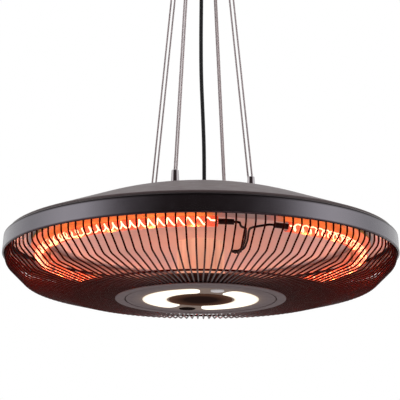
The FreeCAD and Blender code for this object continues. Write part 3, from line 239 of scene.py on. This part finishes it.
def distance_from(tree, point):
    node = add_node(tree, "ShaderNodeVectorMath", operation="DISTANCE")
    node.inputs[1].default_value = point
    tree.links.new(place(tree), node.inputs[0])
    return node.outputs["Value"]


def height_value(tree):
    split = add_node(tree, "ShaderNodeSeparateXYZ")
    tree.links.new(place(tree), split.inputs[0])
    return split.outputs["Z"]


def product_of(tree, first, second):
    node = add_node(tree, "ShaderNodeMath", operation="MULTIPLY")
    tree.links.new(first, node.inputs[0])
    tree.links.new(second, node.inputs[1])
    return node.outputs["Value"]


def spread(tree, value, low, high, low_in=0.3, high_in=0.7):
    """A value moved to the range from low to high. The usual range that it comes from suits noise."""
    node = add_node(tree, "ShaderNodeMapRange")
    node.inputs["From Min"].default_value = low_in
    node.inputs["From Max"].default_value = high_in
    node.inputs["To Min"].default_value = low
    node.inputs["To Max"].default_value = high
    tree.links.new(value, node.inputs["Value"])
    return node.outputs["Result"]


def share_between(tree, value, start, end):
    """0 where a value is at its start or before, 1 where it is at its end or past it."""
    return spread(tree, value, 0.0, 1.0, start, end)


def ramp(tree, value, *stops):
    """Colours along a value: stops are (place, colour)."""
    node = add_node(tree, "ShaderNodeValToRGB")
    elements = node.color_ramp.elements
    while len(elements) < len(stops):
        elements.new(0.5)
    for element, (position, colour) in zip(elements, stops):
        element.position = position
        element.color = (*colour, 1)
    tree.links.new(value, node.inputs["Fac"])
    return node.outputs["Color"]


def colour_along(tree, shader, value, *stops):
    """Gives a shader a base colour that changes along a value."""
    tree.links.new(ramp(tree, value, *stops), shader.inputs["Base Color"])


def mottle(tree, shader, colour, scale, amount, detail=3.0):
    """Small cloudy changes of the base colour."""
    stops = ((0.3, times(colour, 1 - amount)), (0.7, times(colour, 1 + amount)))
    colour_along(tree, shader, noise(tree, scale, detail), *stops)


def rough_along(tree, shader, value, low, high):
    """Gives a shader a roughness that changes with a noise."""
    tree.links.new(spread(tree, value, low, high), shader.inputs["Roughness"])


def uneven_gloss(tree, shader, scale, low, high):
    rough_along(tree, shader, noise(tree, scale), low, high)


def shine(tree, shader, colour, strength):
    """Gives a shader light of its own, with its colour from a node."""
    tree.links.new(colour, shader.inputs["Emission Color"])
    shader.inputs["Emission Strength"].default_value = strength


def bump(tree, shader, height, strength, distance):
    node = add_node(tree, "ShaderNodeBump")
    node.inputs["Strength"].default_value = strength
    node.inputs["Distance"].default_value = distance
    tree.links.new(height, node.inputs["Height"])
    tree.links.new(node.outputs["Normal"], shader.inputs["Normal"])


# Materials: low and high are the least and the most roughness
def painted_metal(name, colour, low, high):
    """Powder coat: fine orange peel, slightly uneven in tone and gloss."""
    made, tree, shader = new_material(name, colour, roughness=low)
    mottle(tree, shader, colour, scale=35, amount=0.07, detail=6)
    uneven_gloss(tree, shader, scale=60, low=low, high=high)
    bump(tree, shader, noise(tree, scale=900, detail=2), strength=0.12, distance=0.3 * MM)
    return made


def dome_paint():
    """Satin powder coat, with painted shade in the seam where the dome stands on the rim."""
    colour = srgb(114, 99, 98)
    # Painted shade: a dark colour for the shadow in the seam over the rim
    seam_shade = srgb(34, 29, 30)
    made = painted_metal("dome_satin_paint", colour, low=0.42, high=0.52)
    tree, shader = parts_of(made)
    above_rim = share_between(tree, height_value(tree), RIM_TOP, RIM_TOP + SEAM_HEIGHT)
    colour_along(tree, shader, above_rim, (0.35, seam_shade), (0.9, colour), (1.0, times(colour, 1.07)))
    return made


def metallic_paint(name):
    """Grey metallic paint, dark where it mirrors the dark front of the room."""
    made = painted_metal(name, METALLIC_GREY, low=0.18, high=0.24)
    shader = parts_of(made)[1]
    shader.inputs["Metallic"].default_value = 1.0
    return made


def rim_paint():
    """Metallic paint, dark brown along the rim's lower edge, with painted shade in the seam at its top.
    """
    # Painted shade: a dark colour for the shadow in the seam under the dome
    seam_shade = srgb(46, 40, 41)
    made = metallic_paint("rim_metallic_paint")
    tree, shader = parts_of(made)
    up_the_rim = share_between(tree, height_value(tree), RIM_PLANE, RIM_TOP)
    stops = ((0.05, HEM_BROWN), (0.12, METALLIC_GREY), (0.84, METALLIC_GREY), (0.92, seam_shade))
    colour_along(tree, shader, up_the_rim, *stops)
    return made


def guard_paint():
    """Black enamel on wire, dulled by heat towards the tube, tinted red in colour and gloss with painted
    glow from the tube.
    """
    # Painted light: the enamel's black is tinted red for the tube's glow on the wires
    colour = srgb(46, 11, 8)
    made, tree, shader = new_material("guard_black_enamel", colour, roughness=0.3)
    mottle(tree, shader, colour, scale=120, amount=0.25, detail=4)
    uneven_gloss(tree, shader, scale=150, low=0.28, high=0.40)
    gloss = spread(tree, height_value(tree), *GUARD_GLOSS, *GUARD_GLOSS_HEIGHTS)
    tree.links.new(gloss, shader.inputs["Specular IOR Level"])
    shader.inputs["Specular Tint"].default_value = (*GUARD_GLOW_REFLECTION_TINT, 1)
    bump(tree, shader, noise(tree, scale=1600, detail=2), strength=0.15, distance=0.2 * MM)
    return made


def spun_metal(name, colour, metallic):
    """Spun sheet with fine rings about the middle axis."""
    made, tree, shader = new_material(name, colour, roughness=0.4, metallic=metallic)
    mottle(tree, shader, colour, scale=14, amount=0.05)
    rings = line_noise(tree, axis_distance(tree), scale=1500, detail=3)
    rough_along(tree, shader, rings, low=0.56, high=0.70)
    bump(tree, shader, rings, strength=0.06, distance=0.2 * MM)
    return made


def reflector_metal():
    """Bright aluminium. Its own light round the middle stands for the ring that it mirrors."""
    made = spun_metal("reflector_spun_aluminium", (0.70, 0.70, 0.70), metallic=0.25)
    tree, shader = parts_of(made)
    outwards = share_between(tree, axis_distance(tree), *MIRROR_RADII)
    shine(tree, shader, ramp(tree, outwards, (0.0, MIRROR_GLOW), (1.0, BLACK)), strength=1.0)
    return made


def trough_metal():
    """Steel tinted by the tube's heat and its painted glow on the sides that face away from the axis,
    paler on the sides that face the axis and at the tube's gap.
    """
    tinted = (0.72, 0.50, 0.17)
    paler = (0.70, 0.54, 0.50)
    made = spun_metal("trough_heat_and_glow_tinted_steel", tinted, metallic=0.5)
    tree, shader = parts_of(made)
    # Painted light: the sides that face away from the axis get the glow colour
    facing = share_between(tree, outward_share(tree), -0.3, 0.3)
    beside_tube = share_between(tree, distance_from(tree, GAP_MIDDLE), *GAP_REACH)
    # Where the heat tint and the painted glow are full
    heat = product_of(tree, facing, beside_tube)
    colour_along(tree, shader, heat, (0.0, paler), (1.0, tinted))
    return made


def column_metal():
    """Drawn bright aluminium with upright streaks, its colour warmed with painted glow from the ring.
    Its own light stands for the ring that it mirrors.
    """
    # Painted light: the warm tones stand for the ring's glow on the aluminium
    colour = (0.78, 0.66, 0.54)
    darker = (0.66, 0.52, 0.42)
    lighter = (0.88, 0.78, 0.66)
    made, tree, shader = new_material("column_drawn_aluminium", colour, roughness=0.35, metallic=0.1)
    streaks = add_node(tree, "ShaderNodeTexNoise")
    streaks.inputs["Scale"].default_value = 110
    tree.links.new(scaled_place(tree, (1, 1, 0.01)), streaks.inputs["Vector"])
    streak = streaks.outputs["Fac"]
    colour_along(tree, shader, streak, (0.35, darker), (0.5, colour), (0.65, lighter))
    rough_along(tree, shader, streak, low=0.28, high=0.44)
    shader.inputs["Emission Color"].default_value = (*COLUMN_GLOW, 1)
    shader.inputs["Emission Strength"].default_value = 1.0
    return made


def zinc_plate():
    """Zinc plated steel with faint crystals."""
    colour = srgb(176, 177, 178)
    made, tree, shader = new_material("zinc_plated_steel", colour, roughness=0.35, metallic=1.0)
    crystals = add_node(tree, "ShaderNodeTexVoronoi")
    crystals.inputs["Scale"].default_value = 220
    tree.links.new(place(tree), crystals.inputs["Vector"])
    colour_along(tree, shader, crystals.outputs["Color"], (0.2, times(colour, 0.82)), (0.8, colour))
    uneven_gloss(tree, shader, scale=90, low=0.26, high=0.44)
    return made


def polished_steel():
    """Polished turned steel with hardly visible tool marks."""
    colour = (0.58, 0.55, 0.55)
    made, tree, shader = new_material("polished_turned_steel", colour, roughness=0.09, metallic=1.0)
    mottle(tree, shader, colour, scale=80, amount=0.05)
    marks = line_noise(tree, height_value(tree), scale=2600, detail=2)
    rough_along(tree, shader, marks, low=0.06, high=0.15)
    bump(tree, shader, marks, strength=0.05, distance=0.1 * MM)
    return made


def rope_steel():
    colour = srgb(238, 227, 225)
    made, tree, shader = new_material("rope_drawn_steel", colour, roughness=0.4, metallic=0.1)
    mottle(tree, shader, colour, scale=400, amount=0.12, detail=4)
    uneven_gloss(tree, shader, scale=300, low=0.32, high=0.5)
    return made


def black_rubber(name, colour, gloss=0.2):
    made, tree, shader = new_material(name, colour, roughness=0.55)
    mottle(tree, shader, colour, scale=300, amount=0.3, detail=4)
    uneven_gloss(tree, shader, scale=140, low=0.46, high=0.64)
    bump(tree, shader, noise(tree, scale=2200, detail=2), strength=0.2, distance=0.15 * MM)
    shader.inputs["Specular IOR Level"].default_value = gloss
    return made


def moulded_plastic(name, colour, low, high, gloss=0.5):
    """Moulded plastic with a fine eroded grain."""
    made, tree, shader = new_material(name, colour, roughness=low)
    shader.inputs["Specular IOR Level"].default_value = gloss
    mottle(tree, shader, colour, scale=45, amount=0.05)
    uneven_gloss(tree, shader, scale=110, low=low, high=high)
    bump(tree, shader, noise(tree, scale=1800, detail=3), strength=0.12, distance=0.15 * MM)
    return made


def hub_plastic(name):
    return moulded_plastic(name, srgb(*HUB_BROWN), low=0.5, high=0.6, gloss=0.15)


def face_plastic():
    """The hub's plastic, warmer and lighter where the lit diffusers shine on it."""
    warm = srgb(158, 134, 118)
    less_warm = srgb(130, 110, 104)
    made = hub_plastic("hub_face_plastic")
    tree, shader = parts_of(made)
    halo_start = DIFFUSER_RADII[1]
    outwards = share_between(tree, axis_distance(tree), halo_start, halo_start + HALO_WIDTH)
    colour_along(tree, shader, outwards, (0.0, warm), (0.35, less_warm), (1.0, srgb(*HUB_BROWN)))
    return made


def cap_plastic():
    """Smoked plastic that hardly mirrors, lighter towards the cap's edge with painted light from the
    diffusers round it.
    """
    colour = srgb(50, 34, 30)
    # Painted light: the lighter edge colour stands for the diffusers' warm light on the cap
    edge = srgb(112, 78, 62)
    made, tree, shader = new_material("smoked_black_plastic", colour, roughness=0.4)
    outwards = share_between(tree, axis_distance(tree), 0.0, CAP_RADIUS)
    colour_along(tree, shader, outwards, (0.5, colour), (1.0, edge))
    uneven_gloss(tree, shader, scale=70, low=0.34, high=0.44)
    shader.inputs["Specular IOR Level"].default_value = 0.0
    return made


def sleeve_ceramic():
    """Black ceramic with fine specks."""
    colour = srgb(40, 12, 10)
    made, tree, shader = new_material("sleeve_black_ceramic", colour, roughness=0.45)
    shader.inputs["Specular IOR Level"].default_value = 0.15
    specks = noise(tree, scale=700, detail=6)
    colour_along(tree, shader, specks, (0.5, colour), (0.6, times(colour, 2)))
    uneven_gloss(tree, shader, scale=120, low=0.36, high=0.55)
    bump(tree, shader, specks, strength=0.15, distance=0.2 * MM)
    return made


def quartz_glass():
    """Quartz that the spiral inside lights red, denser to look through along its edges."""
    duller = (0.85, 0.05, 0.01)
    redder = (1.0, 0.09, 0.02)
    made, tree, shader = new_material("quartz_glass", (0.75, 0.20, 0.09), roughness=0.05)
    shader.inputs["IOR"].default_value = 1.46
    edge = add_node(tree, "ShaderNodeLayerWeight")
    edge.inputs["Blend"].default_value = 0.35
    density = spread(tree, edge.outputs["Facing"], 0.30, 0.65, 0.0, 1.0)
    tree.links.new(density, shader.inputs["Alpha"])
    shine(tree, shader, ramp(tree, noise(tree, scale=60), (0.3, duller), (0.7, redder)), strength=0.55)
    return made


def hot_carbon():
    """Glowing carbon cord, dimmer on the sides that face the middle axis."""
    dimmer = (0.10, 0.016, 0.006)
    brighter = (1.0, 0.30, 0.16)
    made, tree, shader = new_material("hot_carbon", srgb(60, 20, 10), roughness=0.7)
    facing = share_between(tree, outward_share(tree), -0.5, 0.4)
    shine(tree, shader, ramp(tree, facing, (0.0, dimmer), (1.0, brighter)), strength=15.0)
    return made


def opal_plastic():
    """Lit opal plastic that fades to a warm tone along its two round edges."""
    edge = (0.26, 0.19, 0.13)
    warm = (0.86, 0.70, 0.50)
    bright = (1.0, 0.96, 0.84)
    made, tree, shader = new_material("opal_lit_plastic", srgb(250, 246, 232), roughness=0.35)
    across = share_between(tree, axis_distance(tree), *DIFFUSER_RADII)
    stops = ((0.0, edge), (0.09, warm), (0.2, bright), (0.8, bright), (0.91, warm), (1.0, edge))
    shine(tree, shader, ramp(tree, across, *stops), strength=1.1)
    bump(tree, shader, noise(tree, scale=1500, detail=2), strength=0.08, distance=0.1 * MM)
    return made


def lamp_board():
    colour = srgb(226, 228, 224)
    made, tree, shader = new_material("board_white_mask", colour, roughness=0.4)
    mottle(tree, shader, colour, scale=90, amount=0.06)
    uneven_gloss(tree, shader, scale=200, low=0.32, high=0.5)
    return made


def chip_resin():
    colour = srgb(250, 210, 90)
    made, tree, shader = new_material("chip_yellow_resin", colour, roughness=0.25)
    mottle(tree, shader, colour, scale=900, amount=0.12)
    return made


# Meshes along lines
def lengths_along(points):
    """How far along a line each of its points is."""
    return np.concatenate(([0], np.cumsum(np.linalg.norm(np.diff(points, axis=0), axis=1))))


def even_points(points, step):
    """Points along a line, evenly spaced."""
    along = lengths_along(points)
    stations = np.linspace(0, along[-1], int(along[-1] / step) + 1)
    return np.column_stack([np.interp(stations, along, points[:, axis]) for axis in range(3)])


def frames_along(points):
    """Two sideways directions at each point of a line, carried along without twist."""
    ways = np.gradient(points, axis=0)
    ways /= np.linalg.norm(ways, axis=1)[:, None]
    no_start = (0.3, 1.0, 0.2)  # a direction that none of the lines starts in
    first = np.cross(ways[0], no_start)
    sides = [first / np.linalg.norm(first)]
    for way in ways[1:]:
        side = sides[-1] - way * np.dot(sides[-1], way)
        sides.append(side / np.linalg.norm(side))
    sides = np.array(sides)
    return sides, np.cross(ways, sides)


def smooth_mesh(name, vertices, faces):
    mesh = bpy.data.meshes.new(name)
    mesh.from_pydata(vertices, [], faces)
    mesh.polygons.foreach_set("use_smooth", [True] * len(mesh.polygons))
    return mesh


def tube_mesh(name, lines, radius, sides):
    """One mesh of round tubes along several lines, closed at both ends."""
    vertices, faces = [], []
    turn = np.arange(sides) * 2 * math.pi / sides
    cosines = np.cos(turn)[None, :, None]
    sines = np.sin(turn)[None, :, None]
    for points in lines:
        across, up = frames_along(points)
        start = len(vertices)
        rings = points[:, None, :] + radius * (cosines * across[:, None, :] + sines * up[:, None, :])
        vertices += rings.reshape(-1, 3).tolist()
        for ring in range(len(points) - 1):
            low = start + ring * sides
            for side in range(sides):
                after = (side + 1) % sides
                faces.append((low + side, low + after, low + sides + after, low + sides + side))
        last = start + (len(points) - 1) * sides
        faces.append(tuple(start + side for side in reversed(range(sides))))
        faces.append(tuple(last + side for side in range(sides)))
    return smooth_mesh(name, vertices, faces)


def route_curve(name, points):
    """A smooth curve with the route's points as its control points."""
    curve = bpy.data.curves.new(name, "CURVE")
    curve.dimensions = "3D"
    spline = curve.splines.new("NURBS")
    spline.points.add(len(points) - 1)
    for control, point in zip(spline.points, points):
        control.co = (*point, 1)
    spline.order_u = 3
    spline.use_endpoint_u = True
    spline.resolution_u = 12
    return curve


def curve_points(curve):
    """The points that Blender gives for a curve with no thickness."""
    carrier = bpy.data.objects.new("route", curve)
    mesh = bpy.data.meshes.new_from_object(carrier)
    points = np.array([vertex.co for vertex in mesh.vertices])
    bpy.data.objects.remove(carrier)
    bpy.data.meshes.remove(mesh)
    return points


def add_piece(name, data, made, slot, *replaced):
    """A piece that rides on the heater and stands for some solids."""
    piece = bpy.data.objects.new(name, data)
    bpy.context.scene.collection.objects.link(piece)
    data.materials.append(made)
    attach(piece, "heater")
    if replaced:
        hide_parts(*replaced)
    return piece


# Ropes and cord
def rope_route(angle):
    """One doubled rope: up one leg, round the pin and down the other leg."""
    pin = np.array(ROPE_PIN)
    foot = np.array(ROPE_FOOT)
    length = np.linalg.norm(foot - pin)
    down = (foot - pin) / length
    across = np.array((-down[1], down[0]))
    lowest = -(length + ROPE_END_DEPTH) / ROPE_TURN
    turn = math.radians(angle)
    route = []
    for side, up in ((1, lowest), *ROPE_ROUND_PIN, (-1, lowest)):
        radius, height = pin + ROPE_TURN * (across * side - down * up)
        route.append(round_axis(radius, turn, height))
    return route


def make_rope(name, angle, made):
    """A stranded rope: one strand along the route and the others wound about it."""
    curve = route_curve("rope_route_" + name, rope_route(angle))
    centre = even_points(curve_points(curve), ROPE_LAY / ROPE_LAY_STEPS)
    bpy.data.curves.remove(curve)
    across, up = frames_along(centre)
    along = lengths_along(centre)
    strand = ROPE_DIAMETER / 2 / 3  # three strands lie side by side across a rope
    lines = [centre]
    for number in range(ROPE_STRANDS):
        phase = along * 2 * math.pi / ROPE_LAY + number * 2 * math.pi / ROPE_STRANDS
        aside = np.cos(phase)[:, None] * across + np.sin(phase)[:, None] * up
        lines.append(centre + 2 * strand * aside)
    mesh = tube_mesh("stranded_rope_" + name, lines, strand, ROPE_SIDES)
    rope = add_piece("stranded_rope_" + name, mesh, made, "rope_steel", "rope_" + name)


def make_ropes():
    made = rope_steel()
    for number, name in enumerate(ROPE_NAMES):
        make_rope(name, ROPE_FIRST_ANGLE + 90 * number, made)


def make_cord():
    route = [(MM * x, MM * y, RIM_PLANE + MM * height) for x, y, height in CORD_ROUTE]
    curve = route_curve("power_lead", route)
    curve.bevel_depth = CORD_DIAMETER / 2
    curve.bevel_resolution = 6
    curve.use_fill_caps = True
    made = black_rubber("cord_black_sheath", srgb(58, 60, 60))
    lead = add_piece("power_lead", curve, made, "cord_rubber", "power_cord")


# Heating ring
def spiral_line():
    """The carbon cord's line: straight out of one plug, round all its curls and into the other plug."""
    first, last = SPIRAL_ENDS
    share = np.linspace(0, 1, SPIRAL_CURLS * SPIRAL_STEPS)
    curl = 2 * math.pi * SPIRAL_CURLS * share
    turn = np.radians(first + SPIRAL_LEAD + (last - first - 2 * SPIRAL_LEAD) * share)
    turn += SPIRAL_LEAN / TUBE_CIRCLE * np.sin(curl)
    swell = SPIRAL_RADIUS * (1 + SPIRAL_SWELL * np.sin(SPIRAL_SWELL_RATE * curl))
    radius = TUBE_CIRCLE + swell * np.cos(curl)
    height = TUBE_HEIGHT - swell * np.sin(curl)
    line = np.column_stack(round_axis(radius, turn, height))
    start, end = (round_axis(TUBE_CIRCLE + SPIRAL_RADIUS, math.radians(degrees), TUBE_HEIGHT)
                  for degrees in SPIRAL_ENDS)
    return np.vstack((start, line, end))


def make_spiral():
    mesh = tube_mesh("glowing_spiral", [spiral_line()], CARBON_RADIUS, CARBON_SIDES)
    add_piece("glowing_spiral", mesh, hot_carbon(), "hot_carbon", "carbon_spiral")


def make_glow():
    """Small lamps in the ring tube that stand for the spiral's heat glow on the reflector."""
    first, last = SPIRAL_ENDS
    for number in range(GLOW_COUNT):
        name = f"spiral_glow_{number}"
        light = bpy.data.lights.new(name, "POINT")
        light.energy = GLOW_POWER
        light.color = GLOW_COLOUR
        light.shadow_soft_size = SPIRAL_RADIUS
        lamp = bpy.data.objects.new(name, light)
        turn = math.radians(first + (number + 0.5) * (last - first) / GLOW_COUNT)
        lamp.location = round_axis(TUBE_CIRCLE, turn, TUBE_HEIGHT - GLOW_DROP)
        lamp.visible_camera = False
        lamp.visible_glossy = False
        bpy.context.scene.collection.objects.link(lamp)


def rounded_corner(before, corner, after, cut):
    """Points of a smooth turn that begins and ends at one distance from the corner."""
    before, corner, after = (np.array(point) for point in (before, corner, after))
    start = corner + cut * (before - corner) / np.linalg.norm(before - corner)
    end = corner + cut * (after - corner) / np.linalg.norm(after - corner)
    return [(1 - share) ** 2 * start + 2 * share * (1 - share) * corner + share ** 2 * end
            for share in np.linspace(0, 1, TROUGH_ROUND_STEPS)]


def trough_section():
    """The channel's section as (radius, height), from its inner edge over the tube to its outer edge."""
    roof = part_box("reflector_plate")[0][2]
    inner_top = (TROUGH_INNER_TOP, roof)
    outer_top = (TROUGH_OUTER_TOP, roof)
    section = [np.array(TROUGH_INNER_MOUTH)]
    section += rounded_corner(TROUGH_INNER_MOUTH, inner_top, outer_top, TROUGH_ROUND)
    section += rounded_corner(inner_top, outer_top, TROUGH_OUTER_MOUTH, TROUGH_ROUND)
    section.append(np.array(TROUGH_OUTER_MOUTH))
    return [(TUBE_CIRCLE + step, height) for step, height in section]


def make_trough():
    """A thin channel of bent sheet, turned about the middle axis."""
    section = trough_section()
    count = len(section)
    vertices, faces = [], []
    for number in range(TROUGH_STEPS):
        turn = 2 * math.pi * number / TROUGH_STEPS
        vertices += [round_axis(radius, turn, height) for radius, height in section]
        low = number * count
        high = (number + 1) % TROUGH_STEPS * count
        for step in range(count - 1):
            faces.append((low + step, low + step + 1, high + step + 1, high + step))
    mesh = smooth_mesh("trough_sheet", vertices, faces)
    sheet = add_piece("trough_sheet", mesh, trough_metal(), "reflector_metal", "tube_trough")
    thick = sheet.modifiers.new("sheet", "SOLIDIFY")
    thick.thickness = TROUGH_SHEET
    thick.offset = -1.0


# Solids
def paint_nodes(made, *names):
    """Puts one material on solids."""
    for name in names:
        NODES[name].data.materials.clear()
        NODES[name].data.materials.append(made)


def dress_metal():
    paint_nodes(zinc_plate(), "ceiling_bracket", "carrier_plate", "frame_standoffs", "gripper_nuts",
                "rim_screws", "face_screws", "guard_clips", "tube_clips")
    paint_nodes(polished_steel(), "rope_anchors", "anchor_pins", "rope_grippers", "tube_plugs")
    paint_nodes(reflector_metal(), "reflector_plate")
    paint_nodes(column_metal(), "hub_column")
    paint_nodes(rim_paint(), "rim_band")
    paint_nodes(metallic_paint("canopy_metallic_paint"), "canopy_cover")
    paint_nodes(dome_paint(), "dome_shell")
    paint_nodes(painted_metal("lid_dark_paint", srgb(64, 58, 58), low=0.4, high=0.5), "top_lid")
    paint_nodes(guard_paint(), "guard_wires", "guard_rim_ring", "guard_middle_ring")


def dress_plastic():
    black = moulded_plastic("black_plastic", srgb(26, 22, 22), low=0.45, high=0.6)
    ivory = moulded_plastic("ivory_plastic", srgb(222, 218, 205), low=0.4, high=0.5)
    pale = moulded_plastic("button_grey_plastic", srgb(250, 246, 244), low=0.35, high=0.45)
    smoked = moulded_plastic("receiver_smoked_plastic", srgb(34, 24, 22), low=0.3, high=0.4, gloss=0.0)
    paint_nodes(black, "control_box", "led_housing", "button_switch", "receiver_sensor")
    paint_nodes(ivory, "canopy_terminal_block", "terminal_block")
    paint_nodes(pale, "push_button")
    paint_nodes(smoked, "receiver_lens")
    paint_nodes(cap_plastic(), "centre_cap")
    paint_nodes(hub_plastic("hub_brown_plastic"), "hub_bezel")
    paint_nodes(face_plastic(), "hub_face")
    paint_nodes(opal_plastic(), "led_diffuser_left", "led_diffuser_right")
    paint_nodes(lamp_board(), "led_board")
    paint_nodes(chip_resin(), "led_chips")


def dress_rubber_and_tube():
    rubber = black_rubber("black_rubber", srgb(20, 17, 17))
    silicone = black_rubber("lead_black_silicone", srgb(13, 9, 9), gloss=0.04)
    paint_nodes(rubber, "cord_gland", "canopy_cord_grip")
    paint_nodes(silicone, "lead_grommet", "tube_leads")
    paint_nodes(sleeve_ceramic(), "tube_sleeves")
    paint_nodes(quartz_glass(), "quartz_tube")


# Studio
def make_camera():
    data = bpy.data.cameras.new("photo_camera")
    data.lens = CAMERA_LENS
    camera = bpy.data.objects.new("photo_camera", data)
    camera.location = CAMERA_PLACE
    camera.rotation_euler = (math.radians(90 + CAMERA_PITCH), math.radians(CAMERA_ROLL), 0)
    bpy.context.scene.collection.objects.link(camera)
    bpy.context.scene.camera = camera


def make_floor():
    mesh = bpy.data.meshes.new("studio_floor")
    half = FLOOR_HALF
    corners = [(-half, -half), (half, -half), (half, half), (-half, half)]
    mesh.from_pydata([(x, y, FLOOR_HEIGHT) for x, y in corners], [], [(0, 1, 2, 3)])
    floor = bpy.data.objects.new("studio_floor", mesh)
    bpy.context.scene.collection.objects.link(floor)
    made, tree, shader = new_material("studio_pale_floor", FLOOR_GREY, roughness=0.8)
    mottle(tree, shader, FLOOR_GREY, scale=2, amount=0.02)
    shader.inputs["Emission Color"].default_value = (*WHITE, 1)
    rays = add_node(tree, "ShaderNodeLightPath")
    seen = spread(tree, rays.outputs["Is Camera Ray"], 0.0, FLOOR_PALENESS, 0.0, 1.0)
    tree.links.new(seen, shader.inputs["Emission Strength"])
    mesh.materials.append(made)


def make_world():
    """Soft white light from all round, darker from the front, on a white background."""
    world = bpy.data.worlds.new("soft_studio")
    bpy.context.scene.world = world
    world.use_nodes = True
    tree = world.node_tree
    light = tree.nodes["Background"]
    split = add_node(tree, "ShaderNodeSeparateXYZ")
    tree.links.new(add_node(tree, "ShaderNodeTexCoord").outputs["Generated"], split.inputs[0])
    towards_front = spread(tree, split.outputs["Y"], 1.0, 0.0, -1.0, 1.0)
    tree.links.new(ramp(tree, towards_front, *ROOM_LIGHT), light.inputs["Color"])
    light.inputs["Strength"].default_value = 1.0
    background = add_node(tree, "ShaderNodeBackground")
    background.inputs["Color"].default_value = (*WHITE, 1)
    rays = add_node(tree, "ShaderNodeLightPath")
    mix = add_node(tree, "ShaderNodeMixShader")
    tree.links.new(rays.outputs["Is Camera Ray"], mix.inputs["Fac"])
    tree.links.new(light.outputs["Background"], mix.inputs[1])
    tree.links.new(background.outputs["Background"], mix.inputs[2])
    tree.links.new(mix.outputs["Shader"], tree.nodes["World Output"].inputs["Surface"])


def main():
    bpy.context.scene.view_settings.view_transform = "Standard"
    make_camera()
    make_world()
    make_floor()
    make_ropes()
    make_cord()
    make_spiral()
    make_glow()
    make_trough()
    dress_metal()
    dress_plastic()
    dress_rubber_and_tube()


main()
